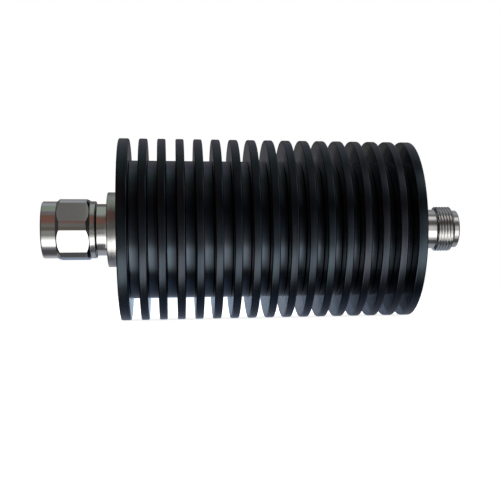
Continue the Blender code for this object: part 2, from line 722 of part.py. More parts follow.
def main():
    clear_scene()
    finishes = {
        "black": make_finish("black_anodised", (0.012, 0.012, 0.016), 0.4, 0.42),
        "satin": make_finish("satin_steel", (0.50, 0.48, 0.45), 1.0, 0.38),
        "nickel": make_finish("polished_nickel", (0.62, 0.60, 0.56), 1.0, 0.18),
        "spring": make_finish("silver_plate", (0.72, 0.71, 0.68), 1.0, 0.25),
        "gold": make_finish("gold_plate", (0.83, 0.62, 0.26), 1.0, 0.22),
        "bead": make_finish("white_bead", (0.85, 0.85, 0.83), 0.0, 0.45),
        "seal": make_finish("red_seal", (0.45, 0.06, 0.04), 0.0, 0.6),
        "alloy": make_finish("plain_alloy", (0.62, 0.63, 0.64), 1.0, 0.35),
        "copper": make_finish("plated_copper", (0.60, 0.57, 0.52), 1.0, 0.30),
        "ceramic": make_finish("chip_ceramic", (0.80, 0.80, 0.76), 0.0, 0.5),
        "lid": make_finish("lid_ceramic", (0.90, 0.89, 0.86), 0.0, 0.45),
    }
    root = bpy.data.objects.new("attenuator", None)
    bpy.context.collection.objects.link(root)
    root.location = (-box_centre_station, 0.0, 0.0)
    nut_axis = bpy.data.objects.new("nut_axis", None)
    bpy.context.collection.objects.link(nut_axis)
    nut_axis.parent = root

    make_heat_sink(root, finishes["black"])
    make_end_cap("plug_end_cap", plug_station, root, finishes["satin"])
    make_plug_body(root, finishes["nickel"])
    make_plug_outer_contact(root, finishes["spring"])
    make_bead("plug_bead", plug_station, sleeve_collar_rear - GAP, root, finishes["bead"])
    make_plug_pin(root, finishes["gold"])
    make_plug_gasket(root, finishes["seal"])
    make_retaining_ring(root, finishes["spring"])
    make_coupling_nut(nut_axis, finishes["nickel"])

    make_end_cap("jack_end_cap", jack_station, root, finishes["satin"])
    make_jack_body(root, finishes["nickel"])
    make_bead("jack_bead", jack_station, jack_bead_bore_end - GAP, root, finishes["bead"])
    make_jack_contact(root, finishes["gold"])

    make_core_carrier(root, finishes["alloy"])
    make_core_cover(root, finishes["alloy"])
    for side in chip_stations:
        make_chip(side, root, finishes)
    make_tabs(root, finishes["gold"])
    make_screws(root, finishes["spring"])


main()
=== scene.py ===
"""Looks of a fixed coaxial attenuator: a black finned heat sink between a plug and a jack.

The file is laid out as an add-on and is run as a script. Each operator makes
one piece, or one group of like pieces, around the solids that the frame loads.
Every turned surface is a closed grid: the rows follow a profile of station and
radius with rounded corners, and the columns go once round the X axis.
"""

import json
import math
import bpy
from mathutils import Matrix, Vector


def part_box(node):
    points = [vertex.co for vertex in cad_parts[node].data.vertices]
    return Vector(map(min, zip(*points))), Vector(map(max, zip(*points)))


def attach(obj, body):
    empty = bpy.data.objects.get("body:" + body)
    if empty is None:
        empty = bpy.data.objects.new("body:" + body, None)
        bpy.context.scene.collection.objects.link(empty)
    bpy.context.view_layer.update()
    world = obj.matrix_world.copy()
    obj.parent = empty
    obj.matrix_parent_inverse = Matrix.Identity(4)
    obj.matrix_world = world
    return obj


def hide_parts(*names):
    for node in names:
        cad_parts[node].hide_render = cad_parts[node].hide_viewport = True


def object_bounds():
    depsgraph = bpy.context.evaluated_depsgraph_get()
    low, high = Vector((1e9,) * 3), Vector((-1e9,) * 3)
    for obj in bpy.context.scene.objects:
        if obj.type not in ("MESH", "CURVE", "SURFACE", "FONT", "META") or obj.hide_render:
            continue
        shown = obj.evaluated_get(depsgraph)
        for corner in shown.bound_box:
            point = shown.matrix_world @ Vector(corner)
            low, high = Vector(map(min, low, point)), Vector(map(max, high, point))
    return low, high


bl_info = {
    "name": "Coaxial Attenuator Looks",
    "version": (1, 0, 0),
    "blender": (4, 5, 0),
    "location": "3D View > Sidebar > Attenuator",
    "description": "Dresses the attenuator's solids with fine surfaces, finishes and a studio",
    "category": "Object",
}

import bmesh
import bpy
import numpy as np
from mathutils import Matrix, Vector

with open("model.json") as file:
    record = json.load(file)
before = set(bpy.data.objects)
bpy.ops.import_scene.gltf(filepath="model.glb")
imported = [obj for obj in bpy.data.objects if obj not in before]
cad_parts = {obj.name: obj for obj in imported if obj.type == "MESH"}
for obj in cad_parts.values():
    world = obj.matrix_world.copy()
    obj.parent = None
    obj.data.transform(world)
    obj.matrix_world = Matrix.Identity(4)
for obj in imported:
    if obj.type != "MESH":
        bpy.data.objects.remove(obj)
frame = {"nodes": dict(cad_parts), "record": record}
cad_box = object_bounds()

MM = 0.001
ROOT_BODY = "attenuator"
NUT_BODY = "nut"
IMAGE_SIZE = 500.0

# Sizes that neighbouring pieces share: radii, and distances outwards from the heat sink's face.
LINE_BORE = 3.5 * MM
CONDUCTOR_RADIUS = 1.52 * MM
SHOULDER_RADIUS = 2.12 * MM
SHOULDER_FRONT = -3.6 * MM
SHOULDER_REAR = -4.6 * MM
SCREW_RADIUS = 6.7 * MM
SCREW_END = -3.0 * MM
BODY_BORE = 5.1 * MM
BODY_SEAT = 4.02 * MM
RING_REAR = 10.15 * MM
NUT_BORE_RADIUS = 7.45 * MM
NUT_THREAD_LENGTH = 9.0 * MM

sink_low, sink_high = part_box("heat_sink")
PLUG_FACE = sink_low.x
JACK_FACE = sink_high.x


def station(side, distance):
    """X of a point this far outwards from the heat sink's face on one side, "plug" or "jack"."""
    return PLUG_FACE - distance if side == "plug" else JACK_FACE + distance


def placed(side, corners):
    """Corners whose first entry, a distance outwards from the heat sink's face, becomes an X."""
    return [(station(side, distance), radius, rounding) for distance, radius, rounding in corners]


def reach(node, side):
    """How far a node's end lies outwards from the heat sink's face on that side."""
    low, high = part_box(node)
    return PLUG_FACE - low.x if side == "plug" else high.x - JACK_FACE


def length_property(name, description, default):
    """Length in metres, shown in the scene's unit."""
    return bpy.props.FloatProperty(name=name, description=description, default=default,
                                   min=0.0, precision=5, unit="LENGTH")


def colour_property(name, description, default):
    """Linear colour swatch."""
    return bpy.props.FloatVectorProperty(name=name, description=description, default=default,
                                         min=0.0, max=1.0, size=3, subtype="COLOR")


def factor_property(name, description, default):
    """Share between nothing and one."""
    return bpy.props.FloatProperty(name=name, description=description, default=default,
                                   min=0.0, max=1.0, subtype="FACTOR")


def angle_property(name, description, degrees):
    """Angle, shown in the scene's unit."""
    return bpy.props.FloatProperty(name=name, description=description,
                                   default=math.radians(degrees), subtype="ANGLE")


def number_property(name, description, default):
    """Plain number of nothing or more."""
    return bpy.props.FloatProperty(name=name, description=description, default=default, min=0.0)


class SinkSettings(bpy.types.PropertyGroup):
    """Sizes and finish of the heat sink's surface."""

    fin_count: bpy.props.IntProperty(name="Fins", description="Number of round fins", default=17, min=3)
    fin_thickness: length_property("Fin thickness", "Thickness of an inner fin", 2.7 * MM)
    end_fin_thickness: length_property("End fin", "Thickness of the first and last fin", 3.4 * MM)
    fin_height: length_property("Fin height", "Height of a fin above the root", 7.4 * MM)
    rim_radius: length_property("Rim rounding", "Rounding of each fin's two rims", 0.45 * MM)
    root_radius: length_property("Root rounding", "Rounding between fin and root", 0.3 * MM)
    bore_radius: length_property("Bore", "Radius of the bore for the core", 9.3 * MM)
    socket_radius: length_property("Socket", "Radius of the end caps' sockets", 10.3 * MM)
    socket_depth: length_property("Socket depth", "Depth of the end caps' sockets", 10.0 * MM)
    colour: colour_property("Anodised black", "Colour of the dyed surface", (0.029, 0.039, 0.050))
    sheen_colour: colour_property("Worn black", "Lighter tone of the dye", (0.042, 0.057, 0.067))
    dye_colour: colour_property("Warm black", "Warmer tone of the dye", (0.050, 0.052, 0.062))
    rim_roughness: factor_property("Rim roughness", "Roughness of the fins' rims", 0.24)
    side_roughness: factor_property("Side roughness", "Roughness of the fins' side faces", 0.11)
    root_roughness: factor_property("Root roughness", "Roughness between the fins", 0.18)
    # Painted highlight and painted shade: factors on the base colour across each groove's floor, lighter by
    # the plug's side and darker by the jack's side.
    groove_painted_highlight: number_property("Groove light", "Tone of a groove beside the fin on the plug's side", 1.75)
    groove_painted_shade: number_property("Groove dark", "Tone of a groove beside the fin on the jack's side", 0.25)


class ConnectorSettings(bpy.types.PropertyGroup):
    """Sizes and finishes of plug, jack and coupling nut."""

    edge_radius: length_property("Edge rounding", "Rounding of the turned edges", 0.12 * MM)
    thread_pitch: length_property("Thread pitch", "Distance from ridge to ridge", 25.4 / 24.0 * MM)
    thread_height: length_property("Thread height", "Height of a thread ridge", 0.62 * MM)
    thread_radius: length_property("Thread crest", "Radius over the jack's ridges", 7.9375 * MM)
    thread_ridge: length_property("Ridge place", "Distance of a ridge's front from the heat sink's face",
                                  12.26 * MM)
    nut_flat: length_property("Nut flat", "Distance from the axis to a flat", 9.815 * MM)
    nut_corner: length_property("Nut corner", "Radius of the turned corners", 10.56 * MM)
    nut_turn: angle_property("Nut turn", "Angle of the nut about its axis", 3.6)
    nickel: colour_property("Nickel", "Colour of the bright plating", (0.65, 0.645, 0.63))
    satin: colour_property("Satin steel", "Colour of the end caps", (0.57, 0.565, 0.54))
    gold: colour_property("Gold", "Colour of the centre contacts", (0.88, 0.62, 0.25))
    silver: colour_property("Silver", "Colour of the spring sleeve", (0.80, 0.79, 0.75))
    bead: colour_property("Bead", "Colour of the insulators", (0.80, 0.80, 0.77))
    seal: colour_property("Seal", "Colour of the soft gasket", (0.42, 0.045, 0.03))


class StudioSettings(bpy.types.PropertyGroup):
    """Camera and screens."""

    camera_station: length_property("Camera station", "Distance along the axis from the plug-side face",
                                    17.46 * MM)
    camera_distance: length_property("Camera distance", "Distance in front of the axis", 336.85 * MM)
    camera_drop: length_property("Camera drop", "Distance below the axis", 21.90 * MM)
    yaw: angle_property("Yaw", "Turn about the upright", -11.085)
    pitch: angle_property("Pitch", "Tilt upwards", 0.477)
    roll: angle_property("Roll", "Turn about the view", 0.871)
    focal_pixels: number_property("Focal length", "Focal length in image pixels", 963.4)
    centre_across: number_property("Centre across", "Optical centre, in pixels from the left", 362.4)
    centre_down: number_property("Centre down", "Optical centre, in pixels from the top", 282.5)
    card_strength: number_property("Card strength", "Brightness of the white card", 2.2)


def sink_settings():
    """Settings of the heat sink."""
    return bpy.context.scene.attenuator_sink


def connector_settings():
    """Settings of the connectors."""
    return bpy.context.scene.attenuator_connectors


def studio_settings():
    """Settings of the studio."""
    return bpy.context.scene.attenuator_studio


# A corner whose half angle is over the first value stays as it is, and an arc takes up at most
# the second value's share of each side beside it.
NEARLY_STRAIGHT = math.radians(88.0)
LONGEST_TOUCH = 0.48
ARC_STEP = math.radians(22.5)
ON_AXIS = 1e-9


def rounded_profile(corners):
    """Closed profile of (station, radius) rows from (station, radius, rounding) corners.

    Each corner with a rounding becomes a circular arc that touches both of its
    sides. The arc's centre lies on the corner's bisector, and the arc turns by
    180 degrees less the corner's angle, in steps of about 22 degrees. It takes
    up less than half of either side, and nearly straight corners stay as they are.
    """
    points = np.array([corner[:2] for corner in corners], float)
    before = np.roll(points, 1, axis=0) - points
    after = np.roll(points, -1, axis=0) - points
    rows = []
    for point, back, ahead, corner in zip(points, before, after, corners):
        back_length, ahead_length = np.linalg.norm(back), np.linalg.norm(ahead)
        back, ahead = back / back_length, ahead / ahead_length
        half_angle = 0.5 * math.acos(np.clip(back @ ahead, -1.0, 1.0))
        if corner[2] <= 0.0 or half_angle > NEARLY_STRAIGHT:
            rows.append(point[None])
            continue
        touch = min(corner[2] / math.tan(half_angle), LONGEST_TOUCH * back_length,
                    LONGEST_TOUCH * ahead_length)
        radius = touch * math.tan(half_angle)
        bisector = (back + ahead) / np.linalg.norm(back + ahead)
        centre = point + bisector * radius / math.sin(half_angle)
        turn = math.pi - 2.0 * half_angle
        steps = max(2, round(turn / ARC_STEP))
        start = point + back * touch - centre
        way = np.sign(start[0] * (point + ahead * touch - centre)[1]
                      - start[1] * (point + ahead * touch - centre)[0])
        angles = way * turn * np.linspace(0.0, 1.0, steps + 1)
        rows.append(centre + np.stack([start[0] * np.cos(angles) - start[1] * np.sin(angles),
                                       start[0] * np.sin(angles) + start[1] * np.cos(angles)], axis=1))
    return np.concatenate(rows)


def refine(profile, step, marked=None):
    """Profile with rows added at the given step on the sides that touch a marked row, or on all."""
    if marked is None:
        marked = np.ones(len(profile), bool)
    ahead = np.roll(profile, -1, axis=0)
    marked_ahead = np.roll(marked, -1)
    pieces = []
    for start, end, here, there in zip(profile, ahead, marked, marked_ahead):
        count = max(1, math.ceil(np.linalg.norm(end - start) / step)) if here or there else 1
        share = np.arange(count)[:, None] / count
        pieces.append(start + (end - start) * share)
    return np.concatenate(pieces)


def grid_mesh(name, points):
    """Mesh of quads over a (row, column, 3) array that closes into a ring both ways.

    The faces are turned over as a whole if the enclosed volume, the sum of
    each quad's centre times its area vector over three, comes out negative.
    """
    rows, columns = points.shape[:2]
    index = np.arange(rows * columns).reshape(rows, columns)
    below = np.roll(index, -1, axis=0)
    quads = np.stack([index, below, np.roll(below, -1, axis=1), np.roll(index, -1, axis=1)], axis=-1)
    quads = quads.reshape(-1, 4)
    flat = points.reshape(-1, 3)
    corner = flat[quads]
    area = np.cross(corner[:, 2] - corner[:, 0], corner[:, 3] - corner[:, 1])
    if np.einsum("ij,ij->", corner.mean(axis=1), area) < 0.0:
        quads = quads[:, ::-1]
    mesh = bpy.data.meshes.new(name)
    mesh.vertices.add(len(flat))
    mesh.vertices.foreach_set("co", flat.astype(np.float32).ravel())
    mesh.loops.add(quads.size)
    mesh.loops.foreach_set("vertex_index", quads.astype(np.int32).ravel())
    mesh.polygons.add(len(quads))
    mesh.polygons.foreach_set("loop_start", np.arange(len(quads), dtype=np.int32) * 4)
    mesh.update(calc_edges=True)
    mesh.validate()
    mesh.shade_smooth()
    return mesh


def ring_points(stations, radii, angles):
    """Points (x, r cos a, r sin a); the three arrays are stretched to one shape."""
    stations, radii, angles = np.broadcast_arrays(stations, radii, angles)
    return np.stack([stations, radii * np.cos(angles), radii * np.sin(angles)], axis=-1)


def round_angles(columns):
    """Evenly spread angles once round the axis, as a row."""
    return (np.arange(columns) * math.tau / columns)[None, :]


def close_poles(mesh):
    """Merge the rows that lie on the axis into single points."""
    bm = bmesh.new()
    bm.from_mesh(mesh)
    bmesh.ops.remove_doubles(bm, verts=bm.verts, dist=1e-7)
    bmesh.ops.dissolve_degenerate(bm, edges=bm.edges, dist=1e-8)
    bm.to_mesh(mesh)
    bm.free()
    mesh.shade_smooth()


def finish_of(slot):
    """The material made for a slot of the record."""
    return next(material for material in bpy.data.materials if material.get("slot") == slot)


def add_piece(name, mesh, slot, body=ROOT_BODY, replaced=()):
    """Link a piece in its slot's finish, let it ride on its body and stand for its solids."""
    piece = bpy.data.objects.new(name, mesh)
    bpy.context.scene.collection.objects.link(piece)
    mesh.materials.append(finish_of(slot))
    weighted = piece.modifiers.new("Flat faces stay flat", "WEIGHTED_NORMAL")
    weighted.keep_sharp = True
    weighted.weight = 90
    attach(piece, body)
    if replaced:
        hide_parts(*replaced)


def turned_piece(name, corners, slot, columns, replaced=()):
    """Piece spun from rounded corners about the X axis."""
    profile = rounded_profile(corners)
    mesh = grid_mesh(name, ring_points(profile[:, :1], profile[:, 1:], round_angles(columns)))
    if profile[:, 1].min() < ON_AXIS:
        close_poles(mesh)
    add_piece(name, mesh, slot, replaced=replaced)


def link(tree, source, target):
    """Join two sockets of a node tree."""
    tree.links.new(source, target)


def feed(tree, value, socket):
    """Give a socket a link, a number or a colour."""
    if isinstance(value, bpy.types.NodeSocket):
        link(tree, value, socket)
    elif isinstance(value, (int, float)):
        socket.default_value = value
    else:
        socket.default_value = (*value, 1.0)


def math_node(tree, operation, first, second=None, clamp=False):
    """Math node whose inputs are sockets or numbers; returns its output."""
    node = tree.nodes.new("ShaderNodeMath")
    node.operation = operation
    node.use_clamp = clamp
    feed(tree, first, node.inputs[0])
    if second is not None:
        feed(tree, second, node.inputs[1])
    return node.outputs[0]


def map_range(tree, value, low, high, to_low, to_high):
    """Map Range node from one span to another, clamped; returns its output."""
    node = tree.nodes.new("ShaderNodeMapRange")
    link(tree, value, node.inputs["Value"])
    node.inputs["From Min"].default_value = low
    node.inputs["From Max"].default_value = high
    node.inputs["To Min"].default_value = to_low
    node.inputs["To Max"].default_value = to_high
    return node.outputs["Result"]


def noise_node(tree, vector, scale, detail):
    """Noise texture whose scale is a number or a socket; returns its value."""
    node = tree.nodes.new("ShaderNodeTexNoise")
    link(tree, vector, node.inputs["Vector"])
    feed(tree, scale, node.inputs["Scale"])
    node.inputs["Detail"].default_value = detail
    return node.outputs["Fac"]


def new_group(name, inputs, outputs):
    """Empty node group with named float or vector sockets; returns tree, input node, output node."""
    tree = bpy.data.node_groups.new(name, "ShaderNodeTree")
    for label, kind, default in inputs:
        socket = tree.interface.new_socket(name=label, in_out="INPUT", socket_type=kind)
        if default is not None:
            socket.default_value = default
    for label in outputs:
        tree.interface.new_socket(name=label, in_out="OUTPUT", socket_type="NodeSocketFloat")
    return tree, tree.nodes.new("NodeGroupInput"), tree.nodes.new("NodeGroupOutput")


def make_lathe_group():
    """Turning marks: noise that depends only on station and radius, so it draws circles about the axis.

    Fine is the close rings of the tool's feed, Broad the wider bands between
    cuts, and Arc a slow change round the axis that breaks the rings up.
    Radius is the distance from the axis in metres.
    """
    tree, given, result = new_group(
        "lathe_marks",
        (("Position", "NodeSocketVector", None), ("Rings per mm", "NodeSocketFloat", 8.0)),
        ("Fine", "Broad", "Arc", "Radius"))
    split = tree.nodes.new("ShaderNodeSeparateXYZ")
    link(tree, given.outputs["Position"], split.inputs[0])
    across = math_node(tree, "MULTIPLY", split.outputs["Y"], split.outputs["Y"])
    upright = math_node(tree, "MULTIPLY", split.outputs["Z"], split.outputs["Z"])
    radius = math_node(tree, "SQRT", math_node(tree, "ADD", across, upright))
    join = tree.nodes.new("ShaderNodeCombineXYZ")
    link(tree, split.outputs["X"], join.inputs["X"])
    link(tree, radius, join.inputs["Y"])
    scaled = tree.nodes.new("ShaderNodeVectorMath")
    scaled.operation = "SCALE"
    link(tree, join.outputs[0], scaled.inputs[0])
    per_metre = math_node(tree, "MULTIPLY", given.outputs["Rings per mm"], 1.0 / MM)
    link(tree, per_metre, scaled.inputs["Scale"])
    link(tree, noise_node(tree, scaled.outputs[0], scale=1.0, detail=2.0), result.inputs["Fine"])
    link(tree, noise_node(tree, scaled.outputs[0], scale=0.14, detail=1.0), result.inputs["Broad"])
    slow_change = noise_node(tree, given.outputs["Position"], scale=130.0, detail=3.0)
    link(tree, slow_change, result.inputs["Arc"])
    link(tree, radius, result.inputs["Radius"])
    return tree


def make_smudge_group():
    """Handling marks: soft patches and small specks of a clean metal or plastic face."""
    tree, given, result = new_group(
        "handling_marks",
        (("Position", "NodeSocketVector", None), ("Patch size", "NodeSocketFloat", 1.0)),
        ("Patches", "Specks"))
    patch_scale = math_node(tree, "DIVIDE", 260.0, given.outputs["Patch size"])
    patches = noise_node(tree, given.outputs["Position"], scale=patch_scale, detail=4.0)
    link(tree, map_range(tree, patches, 0.35, 0.65, 0.0, 1.0), result.inputs["Patches"])
    specks = noise_node(tree, given.outputs["Position"], scale=4200.0, detail=2.0)
    link(tree, map_range(tree, specks, 0.62, 0.74, 0.0, 1.0), result.inputs["Specks"])
    return tree


def group_node(tree, group, position, **values):
    """Place a node group in a material and set its values."""
    node = tree.nodes.new("ShaderNodeGroup")
    node.node_tree = group
    link(tree, position, node.inputs["Position"])
    for label, value in values.items():
        node.inputs[label.replace("_", " ")].default_value = value
    return node


def mix_colour(tree, factor, first, second):
    """Colour mix; first and second are colours or sockets; returns the colour."""
    node = tree.nodes.new("ShaderNodeMix")
    node.data_type = "RGBA"
    link(tree, factor, node.inputs["Factor"])
    feed(tree, first, node.inputs[6])
    feed(tree, second, node.inputs[7])
    return node.outputs[2]


def start_material(name, metallic):
    """New Principled material; returns material, tree, shader and the Object coordinate."""
    material = bpy.data.materials.new(name)
    material.use_nodes = True
    tree = material.node_tree
    shader = tree.nodes["Principled BSDF"]
    shader.inputs["Metallic"].default_value = metallic
    place = tree.nodes.new("ShaderNodeTexCoord")
    return material, tree, shader, place.outputs["Object"]


def add_bump(tree, shader, height, distance):
    """Bump of a height that is one at the given distance in metres."""
    bump = tree.nodes.new("ShaderNodeBump")
    bump.inputs["Distance"].default_value = distance
    bump.inputs["Strength"].default_value = 1.0
    link(tree, height, bump.inputs["Height"])
    link(tree, bump.outputs["Normal"], shader.inputs["Normal"])


def turned_metal(name, colour, roughness, rings, depth, tint=(0.80, 0.79, 0.78), spread=0.10):
    """Metal with turning marks, a slight tint in its bands and soft handling patches."""
    material, tree, shader, position = start_material(name, 1.0)
    marks = group_node(tree, bpy.data.node_groups["lathe_marks"], position, Rings_per_mm=rings)
    smudge = group_node(tree, bpy.data.node_groups["handling_marks"], position, Patch_size=1.6)
    darker = tuple(channel * share for channel, share in zip(colour, tint))
    band = map_range(tree, marks.outputs["Broad"], 0.30, 0.72, 0.0, 0.55)
    patch = math_node(tree, "MULTIPLY", smudge.outputs["Patches"], 0.25)
    link(tree, mix_colour(tree, math_node(tree, "ADD", band, patch, clamp=True), colour, darker),
         shader.inputs["Base Color"])
    from_marks = map_range(tree, marks.outputs["Broad"], 0.3, 0.7, -0.4 * spread, 0.6 * spread)
    from_patches = math_node(tree, "MULTIPLY", smudge.outputs["Patches"], 0.5 * spread)
    total = math_node(tree, "ADD", from_marks, from_patches)
    link(tree, math_node(tree, "ADD", total, roughness, clamp=True), shader.inputs["Roughness"])
    add_bump(tree, shader, marks.outputs["Fine"], depth)
    return material


def groove_width(settings):
    """Clear width between two fins, from the length that the fins leave."""
    metal = 2.0 * settings.end_fin_thickness + (settings.fin_count - 2) * settings.fin_thickness
    return (JACK_FACE - PLUG_FACE - metal) / (settings.fin_count - 1)


def painted_groove_light_and_shade(tree, position, radius, root):
    """Painted highlight and shade on the dye: one on the fins, and in each groove a painted highlight beside
    the plug's side falling to a painted shade beside the jack's side.
    """
    settings = sink_settings()
    groove = groove_width(settings)
    split = tree.nodes.new("ShaderNodeSeparateXYZ")
    link(tree, position, split.inputs[0])
    first_groove = PLUG_FACE + settings.end_fin_thickness
    from_first = math_node(tree, "SUBTRACT", split.outputs["X"], first_groove)
    along = math_node(tree, "MODULO", from_first, groove + settings.fin_thickness)
    tone = map_range(tree, along, 0.0, groove, settings.groove_painted_highlight - 1.0, settings.groove_painted_shade - 1.0)
    at_root = map_range(tree, radius, root + 0.3 * MM, root + 0.9 * MM, 1.0, 0.0)
    return math_node(tree, "ADD", math_node(tree, "MULTIPLY", tone, at_root), 1.0)


def anodised_black(name):
    """Dyed anodised aluminium: near black, a dull sheen, close turning rings, pale specks, and a painted
    highlight and shade across each groove's floor.
    """
    settings = sink_settings()
    material, tree, shader, position = start_material(name, 1.0)
    marks = group_node(tree, bpy.data.node_groups["lathe_marks"], position, Rings_per_mm=2.45)
    smudge = group_node(tree, bpy.data.node_groups["handling_marks"], position, Patch_size=4.0)
    streak = map_range(tree, marks.outputs["Fine"], 0.30, 0.70, 0.0, 0.9)
    patch = math_node(tree, "MULTIPLY", smudge.outputs["Patches"], marks.outputs["Arc"])
    tone = math_node(tree, "ADD", streak, patch, clamp=True)
    dye = map_range(tree, marks.outputs["Broad"], 0.38, 0.62, 0.0, 1.0)
    sheen = mix_colour(tree, dye, tuple(settings.sheen_colour), tuple(settings.dye_colour))
    base = mix_colour(tree, tone, tuple(settings.colour), sheen)
    speck = math_node(tree, "MULTIPLY", smudge.outputs["Specks"], 0.10)
    dyed = mix_colour(tree, speck, base, (0.20, 0.21, 0.23))
    crest = sink_high.z
    root = crest - settings.fin_height
    radius = marks.outputs["Radius"]
    # Painted highlight and shade: the base colour is scaled lighter by the plug's side of each groove and
    # darker by the jack's side.
    painted_groove_colour = tree.nodes.new("ShaderNodeVectorMath")
    painted_groove_colour.operation = "SCALE"
    link(tree, dyed, painted_groove_colour.inputs[0])
    link(tree, painted_groove_light_and_shade(tree, position, radius, root), painted_groove_colour.inputs["Scale"])
    link(tree, painted_groove_colour.outputs[0], shader.inputs["Base Color"])
    outwards = map_range(tree, radius, crest - 1.2 * MM, crest - 0.3 * MM,
                         settings.side_roughness, settings.rim_roughness)
    at_root = map_range(tree, radius, root + 0.2 * MM, root + 1.0 * MM,
                        settings.root_roughness - settings.side_roughness, 0.0)
    ring = map_range(tree, marks.outputs["Broad"], 0.25, 0.75, -0.03, 0.03)
    patch = map_range(tree, marks.outputs["Arc"], 0.3, 0.7, -0.02, 0.04)
    marked = math_node(tree, "ADD", ring, patch)
    rough = math_node(tree, "ADD", math_node(tree, "ADD", outwards, at_root), marked)
    link(tree, rough, shader.inputs["Roughness"])
    add_bump(tree, shader, marks.outputs["Fine"], 0.003 * MM)
    return material


def matte_material(name, colour, shade, roughness, grain, depth):
    """Plastic, rubber or ceramic with a fine grain and soft patches."""
    material, tree, shader, position = start_material(name, 0.0)
    smudge = group_node(tree, bpy.data.node_groups["handling_marks"], position, Patch_size=1.0)
    link(tree, mix_colour(tree, smudge.outputs["Patches"], colour, shade), shader.inputs["Base Color"])
    link(tree, map_range(tree, smudge.outputs["Patches"], 0.0, 1.0, roughness - 0.04, roughness + 0.06),
         shader.inputs["Roughness"])
    add_bump(tree, shader, noise_node(tree, position, scale=grain, detail=3.0), depth)
    return material


def make_materials():
    """Every finish of the part, by the name of its slot in the record."""
    connector = connector_settings()
    nickel = tuple(connector.nickel)
    steel = (0.55, 0.55, 0.55)
    return {
        "sink_black": anodised_black("anodised_black"),
        "cap_satin": turned_metal("satin_steel", tuple(connector.satin),
                                  roughness=0.14, rings=9.0, depth=0.002 * MM),
        "body_nickel": turned_metal("bright_nickel", nickel, roughness=0.035, rings=7.0,
                                    depth=0.0002 * MM, tint=(0.90, 0.89, 0.88), spread=0.03),
        "nut_nickel": turned_metal("nut_nickel", nickel, roughness=0.04, rings=6.0,
                                   depth=0.0002 * MM, tint=(0.92, 0.91, 0.90), spread=0.03),
        "sleeve_silver": turned_metal("silver_plate", tuple(connector.silver),
                                      roughness=0.22, rings=9.0, depth=0.003 * MM),
        "contact_gold": turned_metal("gold_plate", tuple(connector.gold), roughness=0.20, rings=9.0,
                                     depth=0.002 * MM, tint=(0.92, 0.84, 0.70)),
        "bead_white": matte_material("white_insulator", tuple(connector.bead), (0.72, 0.72, 0.69),
                                     roughness=0.42, grain=2500.0, depth=0.004 * MM),
        "gasket_red": matte_material("soft_seal", tuple(connector.seal), (0.32, 0.03, 0.02),
                                     roughness=0.55, grain=1800.0, depth=0.010 * MM),
        "spring_steel": turned_metal("spring_steel", steel, roughness=0.28, rings=6.0, depth=0.003 * MM),
        "core_alloy": turned_metal("machined_alloy", (0.62, 0.63, 0.64),
                                   roughness=0.36, rings=4.0, depth=0.006 * MM),
        "chip_base": turned_metal("plated_base", (0.60, 0.57, 0.52),
                                  roughness=0.30, rings=3.0, depth=0.003 * MM),
        "chip_ceramic": matte_material("chip_ceramic", (0.80, 0.80, 0.76), (0.70, 0.70, 0.66),
                                       roughness=0.5, grain=3000.0, depth=0.004 * MM),
        "chip_lid": matte_material("lid_ceramic", (0.90, 0.89, 0.86), (0.80, 0.79, 0.76),
                                   roughness=0.45, grain=3000.0, depth=0.004 * MM),
        "screw_steel": turned_metal("screw_steel", steel, roughness=0.26, rings=6.0, depth=0.003 * MM),
    }


class OBJECT_OT_attenuator_finishes(bpy.types.Operator):
    """Build the shared node groups and finishes and give the solids their own"""

    bl_idname = "object.attenuator_finishes"
    bl_label = "Finishes"

    def execute(self, context):
        make_lathe_group()
        make_smudge_group()
        materials = make_materials()
        for subpart in frame["record"]["subparts"]:
            solid = frame["nodes"][subpart["node"]]
            solid.data.materials.clear()
            solid.data.materials.append(materials[subpart["material_slot"]])
        for slot, material in materials.items():
            material["slot"] = slot
        return {"FINISHED"}


def sink_corners(settings):
    """Corners of the heat sink's profile, fin by fin, then back through the bore."""
    crest = sink_high.z
    root = crest - settings.fin_height
    groove = groove_width(settings)
    corners = [(PLUG_FACE, settings.socket_radius, 0.0)]
    start = PLUG_FACE
    for i in range(settings.fin_count):
        first, last = i == 0, i == settings.fin_count - 1
        end = start + (settings.end_fin_thickness if first or last else settings.fin_thickness)
        if not first:
            corners.append((start, root, settings.root_radius))
        corners.append((start, crest, settings.rim_radius))
        corners.append((end, crest, settings.rim_radius))
        if not last:
            corners.append((end, root, settings.root_radius))
        start = end + groove
    far = JACK_FACE - settings.socket_depth
    near = PLUG_FACE + settings.socket_depth
    corners += [(JACK_FACE, settings.socket_radius, 0.0), (far, settings.socket_radius, 0.0),
                (far, settings.bore_radius, 0.0), (near, settings.bore_radius, 0.0),
                (near, settings.socket_radius, 0.0)]
    return corners


class OBJECT_OT_attenuator_sink(bpy.types.Operator):
    """Turn the finned heat sink with rounded rims and roots"""

    bl_idname = "object.attenuator_sink"
    bl_label = "Heat sink"

    def execute(self, context):
        turned_piece("sink_surface", sink_corners(sink_settings()), "sink_black", columns=224,
                     replaced=("heat_sink",))
        return {"FINISHED"}


